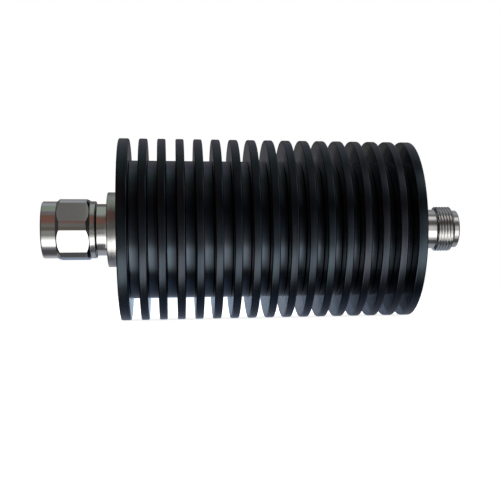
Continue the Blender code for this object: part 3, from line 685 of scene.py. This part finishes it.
class OBJECT_OT_attenuator_caps(bpy.types.Operator):
    """Turn the two end caps, whose flanges seat on the heat sink's faces"""

    bl_idname = "object.attenuator_caps"
    bl_label = "End caps"

    def execute(self, context):
        seat_gap, edge = 0.02 * MM, 0.35 * MM
        recess, recess_floor = 7.0 * MM, -3.3 * MM
        screw, screw_edge = 10.0 * MM, 0.3 * MM
        for node, side in (("plug_end_cap", "plug"), ("jack_end_cap", "jack")):
            low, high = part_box(node)
            face = reach(node, side)
            inner_end = face - (high.x - low.x)
            corners = placed(side, (
                (seat_gap, high.z, edge), (face, high.z, edge), (face, recess, 0.0),
                (recess_floor, recess, 0.0), (recess_floor, LINE_BORE, 0.0), (inner_end, LINE_BORE, 0.0),
                (inner_end, screw, screw_edge), (seat_gap, screw, 0.0),
            ))
            turned_piece(node + "_surface", corners, "cap_satin", columns=160, replaced=(node,))
        return {"FINISHED"}


def body_screw(edge):
    """Corners of the screw at the inner end of the plug's and of the jack's body."""
    return (SCREW_END, BODY_BORE, 0.0), (SCREW_END, SCREW_RADIUS, edge), (BODY_SEAT, SCREW_RADIUS, 0.0)


class OBJECT_OT_attenuator_plug_body(bpy.types.Operator):
    """Turn the plug's neck and barrel, with the groove for the nut's ring"""

    bl_idname = "object.attenuator_plug_body"
    bl_label = "Plug body"

    def execute(self, context):
        edge = connector_settings().edge_radius
        neck, neck_front, neck_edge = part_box("plug_body")[1].z, 7.5 * MM, 0.2 * MM
        barrel, rim = 7.0 * MM, 7.15 * MM
        groove, groove_front = 6.2 * MM, 11.75 * MM
        front = reach("plug_body", "plug")
        mouth, mouth_floor = 4.3 * MM, front - 1.5 * MM
        corners = placed("plug", (
            *body_screw(edge), (BODY_SEAT, neck, edge), (neck_front, neck, neck_edge),
            (neck_front, barrel, 0.0), (RING_REAR, barrel, edge), (RING_REAR, groove, edge),
            (groove_front, groove, edge), (groove_front, rim, edge), (front, rim, edge),
            (front, mouth, edge), (mouth_floor, mouth, 0.0), (mouth_floor, BODY_BORE, 0.0),
        ))
        turned_piece("plug_body_surface", corners, "body_nickel", columns=144, replaced=("plug_body",))
        return {"FINISHED"}


def thread_depth(stations, angles, pitch):
    """Depth of a right-handed thread's groove, from 0 on a ridge to 1 in the groove.

    The phase is station over pitch less angle over a turn, and the way from
    the nearest ridge runs from 0 to 1. The crest is a slight dome over the
    first third of that way, then a smoothstep falls into the groove.
    """
    crest_share, flank_share, dome = 0.34, 0.44, 0.04
    phase = np.mod(stations / pitch - angles / math.tau, 1.0)
    away = 1.0 - np.abs(2.0 * phase - 1.0)
    crest = dome * np.minimum(away / crest_share, 1.0) ** 2
    rise = np.clip((away - crest_share) / flank_share, 0.0, 1.0)
    return crest + (1.0 - dome) * rise * rise * (3.0 - 2.0 * rise)


def fade(stations, start, end, run):
    """One between start and end, falling to nothing over the run-out beside each of them."""
    return np.clip((stations - start) / run, 0.0, 1.0) * np.clip((end - stations) / run, 0.0, 1.0)


def jack_corners(settings, front, lip_start):
    """Corners of the jack's body: screw, collar, neck, crest of the thread, lip and socket."""
    edge, crest = settings.edge_radius, settings.thread_radius
    collar, collar_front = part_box("jack_body")[1].z, 5.6 * MM
    neck, neck_front, neck_edge = 6.95 * MM, 9.5 * MM, 0.2 * MM
    crest_rear, crest_front, crest_edge = 10.1 * MM, lip_start - 0.8 * MM, 0.1 * MM
    lip, socket = 6.65 * MM, 4.05 * MM
    socket_floor, bead_floor = front - 9.1 * MM, 6.0 * MM
    return placed("jack", (
        *body_screw(edge), (BODY_SEAT, collar, 0.0), (collar_front, collar, 0.25 * MM),
        (collar_front, neck, edge), (neck_front, neck, neck_edge), (crest_rear, crest, neck_edge),
        (crest_front, crest, crest_edge), (lip_start, lip, crest_edge), (front, lip, 0.45 * MM),
        (front, socket, 0.3 * MM), (socket_floor, socket, 0.0), (socket_floor, LINE_BORE, edge),
        (bead_floor, LINE_BORE, 0.0), (bead_floor, BODY_BORE, 0.0),
    ))


class OBJECT_OT_attenuator_jack_body(bpy.types.Operator):
    """Turn the jack's barrel and cut its right-handed thread"""

    bl_idname = "object.attenuator_jack_body"
    bl_label = "Jack body"

    def execute(self, context):
        settings = connector_settings()
        crest = settings.thread_radius
        root = crest - settings.thread_height
        front = reach("jack_body", "jack")
        lip_start = front - 1.9 * MM
        row_step, thread_step = 2.6 * MM, 0.055 * MM
        run_out = 0.4 * MM
        profile = refine(rounded_profile(jack_corners(settings, front, lip_start)), row_step)
        thread_from, thread_to = station("jack", 10.0 * MM), station("jack", lip_start)
        inside = (profile[:, 1] > root) & (profile[:, 0] > thread_from) & (profile[:, 0] < thread_to)
        profile = refine(profile, thread_step, inside)
        angles = round_angles(160)
        stations, radii = profile[:, :1], profile[:, 1:]
        from_ridge = stations - station("jack", settings.thread_ridge)
        depth = thread_depth(from_ridge, angles - math.pi, settings.thread_pitch)
        share = fade(stations, thread_from, thread_to + 0.5 * run_out, run_out)
        cut_to = crest - settings.thread_height * depth * share
        threaded = (radii > root) & (stations > thread_from) & (stations < thread_to)
        radii = np.where(threaded, np.minimum(radii, cut_to), radii)
        mesh = grid_mesh("jack_body_surface", ring_points(stations, radii, angles))
        add_piece("jack_body_surface", mesh, "body_nickel", replaced=("jack_body",))
        return {"FINISHED"}


SIXTH_TURN = math.radians(60.0)


def smooth_least(first, second, blend):
    """Smaller of two arrays, with a rounded crossing over the blend length."""
    share = np.clip(0.5 + 0.5 * (second - first) / blend, 0.0, 1.0)
    return second * (1.0 - share) + first * share - blend * share * (1.0 - share)


def hexagon_columns(profile_radii, flat, turn):
    """Angles of the columns for each row, gathered along the edges of the flats.

    On a row whose turned radius is r, a flat reaches to the angle whose cosine
    is flat over r, on both sides of its middle. Columns keep to that edge, so
    the curved line between flat and turned corner is cut cleanly.
    """
    flat_columns, corner_columns, least_edge = 14, 10, math.radians(7.0)
    edge = np.arccos(np.clip(flat / np.maximum(profile_radii, flat), -1.0, 1.0))
    edge = np.maximum(edge, least_edge)[:, None]
    spread = np.sin(np.linspace(-0.5, 0.5, flat_columns + 1) * math.pi)[None, :-1]
    corner = 0.5 - 0.5 * np.cos(np.linspace(0.0, 1.0, corner_columns + 1) * math.pi)[None, :-1]
    on_corner = edge + (SIXTH_TURN - 2.0 * edge) * corner
    sector = np.concatenate([edge * spread, on_corner], axis=1)
    middles = math.pi - turn + 0.5 * SIXTH_TURN + SIXTH_TURN * np.arange(6)
    return (middles[None, :, None] + sector[:, None, :]).reshape(len(profile_radii), -1)


def nut_corners(settings, front, front_ring):
    """Corners of the nut's turned blank: outside from rear to front, then back through the bore."""
    edge, corner = settings.edge_radius, settings.nut_corner
    ring_edge, hexagon_edge, cone_edge, cone_slope = 0.45 * MM, 0.04 * MM, 0.10 * MM, 1.11
    rear = PLUG_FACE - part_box("coupling_nut")[1].x
    rear_ring = settings.nut_flat - 0.19 * MM
    hexagon_rear, hexagon_front = rear + 1.81 * MM, front - 4.78 * MM
    bore, chamber, chamber_front = 7.3 * MM, 8.1 * MM, 12.05 * MM
    mouth = 0.6 * MM
    return placed("plug", (
        (rear, bore, edge), (rear, rear_ring, 0.3 * MM), (hexagon_rear, rear_ring, hexagon_edge),
        (hexagon_rear + cone_slope * (corner - rear_ring), corner, cone_edge),
        (hexagon_front - cone_slope * (corner - front_ring), corner, cone_edge),
        (hexagon_front, front_ring, hexagon_edge), (front, front_ring, ring_edge),
        (front, NUT_BORE_RADIUS + mouth, edge), (front - mouth, NUT_BORE_RADIUS, 0.0),
        (front - 1.0 * MM, NUT_BORE_RADIUS, 0.0), (front - NUT_THREAD_LENGTH, NUT_BORE_RADIUS, 0.0),
        (chamber_front, NUT_BORE_RADIUS, 0.0), (chamber_front, chamber, 0.0),
        (RING_REAR, chamber, 0.0), (RING_REAR, bore, 0.0),
    ))


class OBJECT_OT_attenuator_nut(bpy.types.Operator):
    """Turn the coupling nut, mill its six flats and cut its inner thread"""

    bl_idname = "object.attenuator_nut"
    bl_label = "Coupling nut"

    def execute(self, context):
        settings = connector_settings()
        flat, turn = settings.nut_flat, settings.nut_turn
        front = reach("coupling_nut", "plug")
        front_ring = flat - 0.295 * MM
        slack, flat_edge, outer_wall = 0.01 * MM, 0.015 * MM, 8.6 * MM
        hexagon_step, thread_step, thread_height = 0.14 * MM, 0.08 * MM, 0.5 * MM
        profile = rounded_profile(nut_corners(settings, front, front_ring))
        profile = refine(profile, hexagon_step, profile[:, 1] > front_ring - slack)
        profile = refine(profile, thread_step, np.abs(profile[:, 1] - NUT_BORE_RADIUS) < slack)
        stations, turned = profile[:, :1], profile[:, 1:]
        angles = hexagon_columns(turned[:, 0], flat, turn)
        from_middle = np.mod(angles - (math.pi - turn), SIXTH_TURN) - 0.5 * SIXTH_TURN
        flats = flat / np.cos(from_middle)
        milled = smooth_least(np.broadcast_to(turned, flats.shape), flats, flat_edge)
        radii = np.where(turned > outer_wall, milled, turned)
        depth = thread_depth(stations, angles, settings.thread_pitch)
        thread_front, run_out = front - 0.1 * MM, 0.6 * MM
        share = fade(stations, station("plug", thread_front),
                     station("plug", front - NUT_THREAD_LENGTH), run_out)
        grooved = NUT_BORE_RADIUS + thread_height * (1.0 - depth) * share
        radii = np.where(np.abs(turned - NUT_BORE_RADIUS) < slack, grooved, radii)
        mesh = grid_mesh("coupling_nut_surface", ring_points(stations, radii, angles))
        add_piece("coupling_nut_surface", mesh, "nut_nickel", body=NUT_BODY, replaced=("coupling_nut",))
        return {"FINISHED"}


SHARP_ANGLE = math.radians(40.0)


def slotted_tube(name, corners, slots, slot_width, columns):
    """Closed shells of one tube split by lengthwise slots into equal fingers.

    Each finger is a closed grid: its rows follow the tube's closed section and
    its columns run from one slot's side to the next, at an angle that keeps
    the slot's sides parallel: half the slot's width over the radius.
    """
    profile = rounded_profile(corners)
    stations, radii = profile[:, :1], profile[:, 1:]
    inset = np.arcsin(0.5 * slot_width / radii)
    across = np.linspace(0.0, 1.0, columns)[None, :]
    shells = []
    for i in range(slots):
        start = math.tau * i / slots + inset
        end = math.tau * (i + 1) / slots - inset
        shells.append(ring_points(stations, radii, start + (end - start) * across))
    bm = bmesh.new()
    for points in shells:
        rows, count = points.shape[:2]
        verts = [bm.verts.new(point) for point in points.reshape(-1, 3)]
        grid = np.arange(rows * count).reshape(rows, count)
        below = np.roll(grid, -1, axis=0)
        quads = np.stack([grid[:, :-1], below[:, :-1], below[:, 1:], grid[:, 1:]], axis=-1)
        for quad in quads.reshape(-1, 4):
            bm.faces.new([verts[k] for k in quad])
        bm.faces.new([verts[k] for k in grid[::-1, 0]])
        bm.faces.new([verts[k] for k in grid[:, -1]])
    bmesh.ops.recalc_face_normals(bm, faces=bm.faces)
    mesh = bpy.data.meshes.new(name)
    bm.to_mesh(mesh)
    bm.free()
    mesh.shade_smooth()
    mesh.set_sharp_from_angle(angle=SHARP_ANGLE)
    return mesh


class OBJECT_OT_attenuator_sleeve(bpy.types.Operator):
    """Make the plug's spring sleeve: a collar, a tube and four sprung fingers"""

    bl_idname = "object.attenuator_sleeve"
    bl_label = "Spring sleeve"

    def execute(self, context):
        front = reach("plug_outer_contact", "plug")
        slot_root = front - 7.5 * MM
        tube = 4.0 * MM
        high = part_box("plug_outer_contact")[1]
        collar, collar_rear, collar_edge = high.z, PLUG_FACE - high.x, 0.1 * MM
        collar_front = collar_rear + 2.0 * MM
        base = placed("plug", (
            (collar_rear, LINE_BORE, 0.0), (collar_rear, collar, collar_edge),
            (collar_front, collar, collar_edge), (collar_front, tube, 0.0), (slot_root, tube, 0.0),
            (slot_root, LINE_BORE, 0.0),
        ))
        turned_piece("sleeve_base_surface", base, "sleeve_silver", columns=96,
                     replaced=("plug_outer_contact",))
        fingers = placed("plug", (
            (slot_root, LINE_BORE, 0.0), (slot_root, tube, 0.0), (front, tube, 0.18 * MM),
            (front, LINE_BORE, 0.12 * MM),
        ))
        mesh = slotted_tube("sleeve_fingers_surface", fingers, slots=4, slot_width=0.4 * MM, columns=22)
        add_piece("sleeve_fingers_surface", mesh, "sleeve_silver")
        return {"FINISHED"}


def contact_bar(solid_end):
    """Corners of a centre contact's bar, from its shoulder inwards to where the solid is milled flat."""
    edge = 0.08 * MM
    flat_start = solid_end + 3.0 * MM
    return (
        (SHOULDER_FRONT, CONDUCTOR_RADIUS, 0.0), (SHOULDER_FRONT, SHOULDER_RADIUS, edge),
        (SHOULDER_REAR, SHOULDER_RADIUS, edge), (SHOULDER_REAR, CONDUCTOR_RADIUS, 0.0),
        (flat_start, CONDUCTOR_RADIUS, 0.0), (flat_start, 0.0, 0.0),
    )


class OBJECT_OT_attenuator_contacts(bpy.types.Operator):
    """Turn the gold centre pin and the slotted centre socket"""

    bl_idname = "object.attenuator_contacts"
    bl_label = "Centre contacts"

    def execute(self, context):
        tip = reach("plug_pin", "plug")
        slim, slim_rear, slim_edge = 0.8 * MM, tip - 2.1 * MM, 0.1 * MM
        pin = placed("plug", (
            (tip, 0.0, 0.0), (tip, 0.35 * MM, 0.12 * MM), (tip - 0.5 * MM, slim, 0.3 * MM),
            (slim_rear, slim, slim_edge), (slim_rear, CONDUCTOR_RADIUS, slim_edge),
            *contact_bar(PLUG_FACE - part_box("plug_pin")[1].x),
        ))
        turned_piece("pin_surface", pin, "contact_gold", columns=48)
        tip = reach("jack_contact", "jack")
        hole, hole_floor, slot_root = 0.825 * MM, tip - 6.0 * MM, tip - 5.0 * MM
        shank = placed("jack", (
            (hole_floor, 0.0, 0.0), (hole_floor, hole, 0.0), (slot_root, hole, 0.0),
            (slot_root, CONDUCTOR_RADIUS, 0.0), *contact_bar(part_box("jack_contact")[0].x - JACK_FACE),
        ))
        turned_piece("socket_shank_surface", shank, "contact_gold", columns=48)
        fingers = placed("jack", (
            (slot_root, hole, 0.0), (slot_root, CONDUCTOR_RADIUS, 0.0),
            (tip, CONDUCTOR_RADIUS - 0.1 * MM, 0.15 * MM), (tip, hole, 0.12 * MM),
        ))
        mesh = slotted_tube("socket_fingers_surface", fingers, slots=4, slot_width=0.3 * MM, columns=12)
        add_piece("socket_fingers_surface", mesh, "contact_gold")
        return {"FINISHED"}


class OBJECT_OT_attenuator_seals(bpy.types.Operator):
    """Turn the white beads and the soft gasket"""

    bl_idname = "object.attenuator_seals"
    bl_label = "Beads and gasket"

    def execute(self, context):
        hole, edge = 1.54 * MM, 0.1 * MM
        for node, side in (("plug_bead", "plug"), ("jack_bead", "jack")):
            low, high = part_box(node)
            front = reach(node, side)
            rear = front - (high.x - low.x)
            corners = placed(side, (
                (rear, hole, 0.0), (rear, high.z, edge), (front, high.z, edge), (front, hole, 0.0),
            ))
            turned_piece(node + "_surface", corners, "bead_white", columns=72, replaced=(node,))
        low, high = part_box("plug_gasket")
        hole, edge = 4.5 * MM, 0.35 * MM
        corners = [(low.x, hole, edge), (low.x, high.z, edge), (high.x, high.z, edge), (high.x, hole, edge)]
        turned_piece("gasket_surface", corners, "gasket_red", columns=96, replaced=("plug_gasket",))
        return {"FINISHED"}


SHOWN_RAYS = ("Is Camera Ray", "Is Glossy Ray", "Is Transmission Ray")
ROOM_TONES = {
    "white": (1.0, 1.0, 1.0),
    "sky": (0.24, 0.305, 0.385),
    "bright": (0.60, 0.60, 0.60),
    "mist": (0.40, 0.39, 0.38),
    "pink": (0.48, 0.45, 0.43),
    "silver": (0.28, 0.28, 0.28),
    "blue": (0.19, 0.20, 0.225),
    "azure": (0.100, 0.120, 0.170),
    "navy": (0.058, 0.082, 0.125),
    "violet": (0.125, 0.125, 0.15),
    "green": (0.12, 0.155, 0.13),
    "grey": (0.135, 0.135, 0.135),
    "slate": (0.090, 0.095, 0.110),
    "umber": (0.040, 0.030, 0.022),
    "stone": (0.082, 0.080, 0.078),
    "moss": (0.165, 0.190, 0.170),
    "brown": (0.095, 0.047, 0.037),
    "shade": (0.064, 0.059, 0.050),
    "dark": (0.045, 0.045, 0.050),
    "black": (0.020, 0.020, 0.022),
}
# Each span runs from one X to another, in metres, and gives the tone at each angle in degrees.
ROOM_BANDS = (
    (-0.9, -0.9, (
        (-180, "black"), (180, "black"),
    )),
    (-0.185, -0.13, (
        (-180, "azure"), (-166, "azure"), (-153, "silver"), (-140, "blue"), (-128, "slate"),
        (-118, "dark"), (-96, "dark"), (-86, "slate"), (-79, "blue"), (-74, "bright"), (-69, "white"),
        (-47, "white"), (-43, "bright"), (-36, "mist"), (-31, "silver"), (-26, "grey"), (-9, "grey"),
        (-4, "shade"), (5, "shade"), (10, "stone"), (16, "stone"), (28, "brown"), (56, "brown"),
        (62, "stone"), (73, "stone"), (79, "grey"), (88, "green"), (105, "green"), (120, "blue"),
        (140, "grey"), (152, "shade"), (180, "dark"),
    )),
    (-0.1285, -0.1078, (
        (-180, "navy"), (-168, "navy"), (-157, "blue"), (-118, "blue"), (-108, "grey"), (-102, "dark"),
        (-78, "dark"), (-71, "grey"), (-66, "bright"), (-61, "white"), (-40, "white"), (-34, "bright"),
        (-29, "mist"), (-25, "silver"), (-20, "grey"), (-6, "grey"), (0, "shade"), (20, "shade"),
        (25, "brown"), (50, "brown"), (56, "stone"), (62, "grey"), (70, "moss"), (115, "moss"),
        (124, "slate"), (135, "shade"), (180, "dark"),
    )),
    (-0.106, -0.095, (
        (-180, "silver"), (-150, "grey"), (-120, "dark"), (-105, "shade"), (-95, "silver"),
        (-88, "white"), (-42, "white"), (-34, "mist"), (-21, "silver"), (-5, "grey"), (12, "stone"),
        (26, "shade"), (36, "umber"), (54, "umber"), (64, "shade"), (76, "grey"), (92, "grey"),
        (130, "grey"), (155, "slate"), (180, "dark"),
    )),
    (-0.093, -0.088, (
        (-180, "navy"), (-168, "navy"), (-155, "azure"), (-125, "azure"), (-107, "azure"),
        (-97, "navy"), (-88, "dark"), (-80, "dark"), (-70, "white"), (-38, "white"), (-28, "silver"),
        (-19, "grey"), (-9, "slate"), (5, "dark"), (25, "black"), (50, "black"), (75, "shade"),
        (92, "green"), (107, "blue"), (125, "violet"), (142, "slate"), (155, "dark"), (180, "dark"),
    )),
    (-0.02, -0.02, (
        (-180, "sky"), (-168, "sky"), (-155, "azure"), (-125, "azure"), (-107, "azure"), (-97, "navy"),
        (-87, "dark"), (-76, "dark"), (-61, "white"), (-37, "white"), (-28, "silver"), (-19, "grey"),
        (-9, "slate"), (5, "dark"), (25, "black"), (48, "black"), (75, "shade"), (92, "green"),
        (107, "blue"), (125, "violet"), (142, "slate"), (155, "dark"), (180, "dark"),
    )),
    (0.27, 0.27, (
        (-180, "azure"), (-168, "navy"), (-155, "slate"), (-128, "azure"), (-107, "navy"),
        (-80, "black"), (-68, "dark"), (-60, "slate"), (-51, "white"), (-34, "white"), (-22, "silver"),
        (-4, "slate"), (8, "dark"), (20, "black"), (32, "black"), (48, "slate"), (67, "grey"),
        (80, "slate"), (89, "shade"), (105, "grey"), (120, "violet"), (142, "slate"), (155, "dark"),
        (180, "dark"),
    )),
    (0.31, 0.31, (
        (-180, "blue"), (-112, "blue"), (-105, "grey"), (-98, "dark"), (-77, "dark"), (-72, "grey"),
        (-66, "silver"), (-60, "mist"), (-52, "bright"), (-44, "white"), (-20, "white"),
        (-15, "bright"), (-9, "mist"), (8, "mist"), (13, "silver"), (19, "grey"), (26, "shade"),
        (37, "shade"), (43, "slate"), (49, "blue"), (55, "mist"), (60, "pink"), (70, "pink"),
        (77, "grey"), (84, "slate"), (91, "grey"), (99, "blue"), (115, "blue"), (130, "grey"),
        (150, "blue"), (180, "grey"),
    )),
    (0.9, 0.9, (
        (-180, "dark"), (-75, "dark"), (-60, "slate"), (-50, "grey"), (-10, "grey"), (8, "slate"),
        (22, "dark"), (40, "slate"), (55, "mist"), (72, "mist"), (82, "slate"), (120, "slate"),
        (180, "dark"),
    )),
    (1.45, 1.45, (
        (-180, "black"), (180, "black"),
    )),
)


def add_camera(context):
    """Camera at the photograph's place: turned by yaw, then pitch, then roll, from looking along +Y."""
    settings = studio_settings()
    data = bpy.data.cameras.new("studio_camera")
    data.sensor_width = 36.0
    data.lens = settings.focal_pixels / IMAGE_SIZE * data.sensor_width
    data.shift_x = (0.5 * IMAGE_SIZE - settings.centre_across) / IMAGE_SIZE
    data.shift_y = (settings.centre_down - 0.5 * IMAGE_SIZE) / IMAGE_SIZE
    data.clip_start = 0.01
    camera = bpy.data.objects.new("studio_camera", data)
    context.scene.collection.objects.link(camera)
    turn = (Matrix.Rotation(settings.yaw, 3, "Z") @ Matrix.Rotation(settings.pitch, 3, "X")
            @ Matrix.Rotation(settings.roll, 3, "Y") @ Matrix.Rotation(math.radians(90.0), 3, "X"))
    place = Vector((PLUG_FACE + settings.camera_station, -settings.camera_distance, -settings.camera_drop))
    camera.matrix_world = Matrix.Translation(place) @ turn.to_4x4()
    context.scene.camera = camera


def ray_mask(tree, names):
    """One for the rays of the named kinds, from Light Path."""
    path = tree.nodes.new("ShaderNodeLightPath")
    total = path.outputs[names[0]]
    for name in names[1:]:
        total = math_node(tree, "ADD", total, path.outputs[name], clamp=True)
    return total


def colour_ramp(tree, value, stops):
    """Colour ramp with (position, colour) stops; returns the colour."""
    node = tree.nodes.new("ShaderNodeValToRGB")
    elements = node.color_ramp.elements
    elements.remove(elements[1])
    elements[0].position = stops[0][0]
    elements[0].color = (*stops[0][1], 1.0)
    for position, colour in stops[1:]:
        element = elements.new(position)
        element.color = (*colour, 1.0)
    link(tree, value, node.inputs["Fac"])
    return node.outputs["Color"]


def stage_material(name):
    """Empty node material for the stage; returns material, tree and output node."""
    material = bpy.data.materials.new(name)
    material.use_nodes = True
    tree = material.node_tree
    tree.nodes.clear()
    return material, tree, tree.nodes.new("ShaderNodeOutputMaterial")


def floor_material():
    """Pale floor, white to the camera but for a faint shadow."""
    material, tree, output = stage_material("studio_floor")
    pale = tree.nodes.new("ShaderNodeBsdfDiffuse")
    pale.inputs["Color"].default_value = (0.8, 0.8, 0.8, 1.0)
    glow = tree.nodes.new("ShaderNodeEmission")
    glow.inputs["Strength"].default_value = 0.86
    lit = tree.nodes.new("ShaderNodeAddShader")
    link(tree, pale.outputs[0], lit.inputs[0])
    link(tree, glow.outputs[0], lit.inputs[1])
    shown = tree.nodes.new("ShaderNodeMixShader")
    link(tree, ray_mask(tree, SHOWN_RAYS), shown.inputs[0])
    link(tree, pale.outputs[0], shown.inputs[1])
    link(tree, lit.outputs[0], shown.inputs[2])
    link(tree, shown.outputs[0], output.inputs["Surface"])
    return material


def screen_material():
    """Room tones round the part: one ramp for each span of the X axis, blended from span to span.

    A ramp's angle is the arc tangent of the height over the distance towards
    the camera's side: 0 towards the camera, 90 overhead and -90 beneath. The
    room is dark at both ends.
    """
    material, tree, output = stage_material("studio_screen")
    place = tree.nodes.new("ShaderNodeTexCoord")
    split = tree.nodes.new("ShaderNodeSeparateXYZ")
    link(tree, place.outputs["Object"], split.inputs[0])
    towards = math_node(tree, "MULTIPLY", split.outputs["Y"], -1.0)
    angle = math_node(tree, "ARCTAN2", split.outputs["Z"], towards)
    share = map_range(tree, angle, -math.pi, math.pi, 0.0, 1.0)
    tone, last_end = None, None
    for start, end, bands in ROOM_BANDS:
        stops = [((degrees + 180.0) / 360.0, ROOM_TONES[name]) for degrees, name in bands]
        ramp = colour_ramp(tree, share, stops)
        if tone is None:
            tone = ramp
        else:
            reached = map_range(tree, split.outputs["X"], last_end, start, 0.0, 1.0)
            tone = mix_colour(tree, reached, tone, ramp)
        last_end = end
    shine = tree.nodes.new("ShaderNodeEmission")
    shine.inputs["Strength"].default_value = studio_settings().card_strength
    link(tree, tone, shine.inputs["Color"])
    link(tree, shine.outputs[0], output.inputs["Surface"])
    return material


def add_stage_mesh(context, name, points, faces, material):
    """Stage object from points and faces."""
    mesh = bpy.data.meshes.new(name)
    mesh.from_pydata(points, [], faces)
    mesh.materials.append(material)
    item = bpy.data.objects.new(name, mesh)
    context.scene.collection.objects.link(item)
    return item


def add_floor(context):
    """Square pale floor that the lowest fins touch."""
    half = 3.0
    level = cad_box[0].z
    points = [(-half, -half, level), (half, -half, level), (half, half, level), (-half, half, level)]
    floor = add_stage_mesh(context, "studio_floor", points, [(0, 1, 2, 3)], floor_material())
    floor.visible_glossy = False


def add_screen(context):
    """Closed tube of screens along the X axis, seen only by what reflects or lets light through."""
    radius, half, steps = 0.9, 1.6, 96
    angles = [math.tau * i / steps for i in range(steps)]
    points = [(side, -radius * math.cos(a), radius * math.sin(a)) for a in angles for side in (-half, half)]
    faces = [(2 * i, 2 * i + 1, (2 * i + 3) % (2 * steps), (2 * i + 2) % (2 * steps)) for i in range(steps)]
    faces += [tuple(range(0, 2 * steps, 2)), tuple(range(1, 2 * steps, 2))]
    screen = add_stage_mesh(context, "studio_screen", points, faces, screen_material())
    screen.visible_camera = False
    screen.visible_diffuse = False
    screen.visible_shadow = False


def set_world(scene):
    """White world behind everything for camera, metal and glass, and a softer level for lighting."""
    world = bpy.data.worlds.new("studio_world")
    scene.world = world
    world.use_nodes = True
    tree = world.node_tree
    tree.nodes.clear()
    output = tree.nodes.new("ShaderNodeOutputWorld")
    shown = tree.nodes.new("ShaderNodeBackground")
    shown.inputs["Color"].default_value = (1.0, 1.0, 1.0, 1.0)
    soft = tree.nodes.new("ShaderNodeBackground")
    soft.inputs["Color"].default_value = (0.92, 0.95, 1.0, 1.0)
    soft.inputs["Strength"].default_value = 0.55
    mix = tree.nodes.new("ShaderNodeMixShader")
    link(tree, ray_mask(tree, SHOWN_RAYS), mix.inputs[0])
    link(tree, soft.outputs[0], mix.inputs[1])
    link(tree, shown.outputs[0], mix.inputs[2])
    link(tree, mix.outputs[0], output.inputs["Surface"])


def add_lamp(context, name, place, target, size, power, colour):
    """Soft square lamp at a place, facing a target."""
    data = bpy.data.lights.new(name, "AREA")
    data.shape = "RECTANGLE"
    data.size, data.size_y = size
    data.energy = power
    data.color = colour
    lamp = bpy.data.objects.new(name, data)
    context.scene.collection.objects.link(lamp)
    aim = (Vector(target) - Vector(place)).to_track_quat("-Z", "Y")
    lamp.matrix_world = Matrix.Translation(place) @ aim.to_matrix().to_4x4()
    lamp.visible_glossy = False


class OBJECT_OT_attenuator_stage(bpy.types.Operator):
    """Set up the camera, the pale floor, the screens and the soft lamp"""

    bl_idname = "object.attenuator_stage"
    bl_label = "Studio"

    def execute(self, context):
        scene = context.scene
        scene.view_settings.view_transform = "Standard"
        add_camera(context)
        add_floor(context)
        add_screen(context)
        set_world(scene)
        add_lamp(context, "overhead_lamp", place=(0.0, -0.10, 0.60), target=(0.0, 0.0, 0.0),
                 size=(0.7, 0.4), power=5.0, colour=(1.0, 0.99, 0.97))
        return {"FINISHED"}


class VIEW3D_PT_attenuator(bpy.types.Panel):
    """Panel with every operator and setting"""

    bl_idname = "VIEW3D_PT_attenuator"
    bl_label = "Coaxial Attenuator"
    bl_space_type = "VIEW_3D"
    bl_region_type = "UI"
    bl_category = "Attenuator"

    def draw(self, context):
        column = self.layout.column()
        for operator in OPERATORS:
            column.operator(operator.bl_idname)
        for settings in (sink_settings(), connector_settings(), studio_settings()):
            box = self.layout.box()
            for name in settings.__annotations__:
                box.prop(settings, name)


OPERATORS = (
    OBJECT_OT_attenuator_finishes,
    OBJECT_OT_attenuator_sink,
    OBJECT_OT_attenuator_caps,
    OBJECT_OT_attenuator_plug_body,
    OBJECT_OT_attenuator_sleeve,
    OBJECT_OT_attenuator_contacts,
    OBJECT_OT_attenuator_seals,
    OBJECT_OT_attenuator_nut,
    OBJECT_OT_attenuator_jack_body,
    OBJECT_OT_attenuator_stage,
)
SETTINGS = (SinkSettings, ConnectorSettings, StudioSettings)


def register():
    """Register settings, operators and the panel."""
    for item in (*SETTINGS, *OPERATORS, VIEW3D_PT_attenuator):
        bpy.utils.register_class(item)
    bpy.types.Scene.attenuator_sink = bpy.props.PointerProperty(type=SinkSettings)
    bpy.types.Scene.attenuator_connectors = bpy.props.PointerProperty(type=ConnectorSettings)
    bpy.types.Scene.attenuator_studio = bpy.props.PointerProperty(type=StudioSettings)


def unregister():
    """Take everything back out."""
    del bpy.types.Scene.attenuator_studio
    del bpy.types.Scene.attenuator_connectors
    del bpy.types.Scene.attenuator_sink
    for item in reversed((*SETTINGS, *OPERATORS, VIEW3D_PT_attenuator)):
        bpy.utils.unregister_class(item)


def main():
    """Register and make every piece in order."""
    register()
    bpy.ops.object.attenuator_finishes()
    bpy.ops.object.attenuator_sink()
    bpy.ops.object.attenuator_caps()
    bpy.ops.object.attenuator_plug_body()
    bpy.ops.object.attenuator_sleeve()
    bpy.ops.object.attenuator_contacts()
    bpy.ops.object.attenuator_seals()
    bpy.ops.object.attenuator_nut()
    bpy.ops.object.attenuator_jack_body()
    bpy.ops.object.attenuator_stage()


if __name__ == "__main__":
    main()
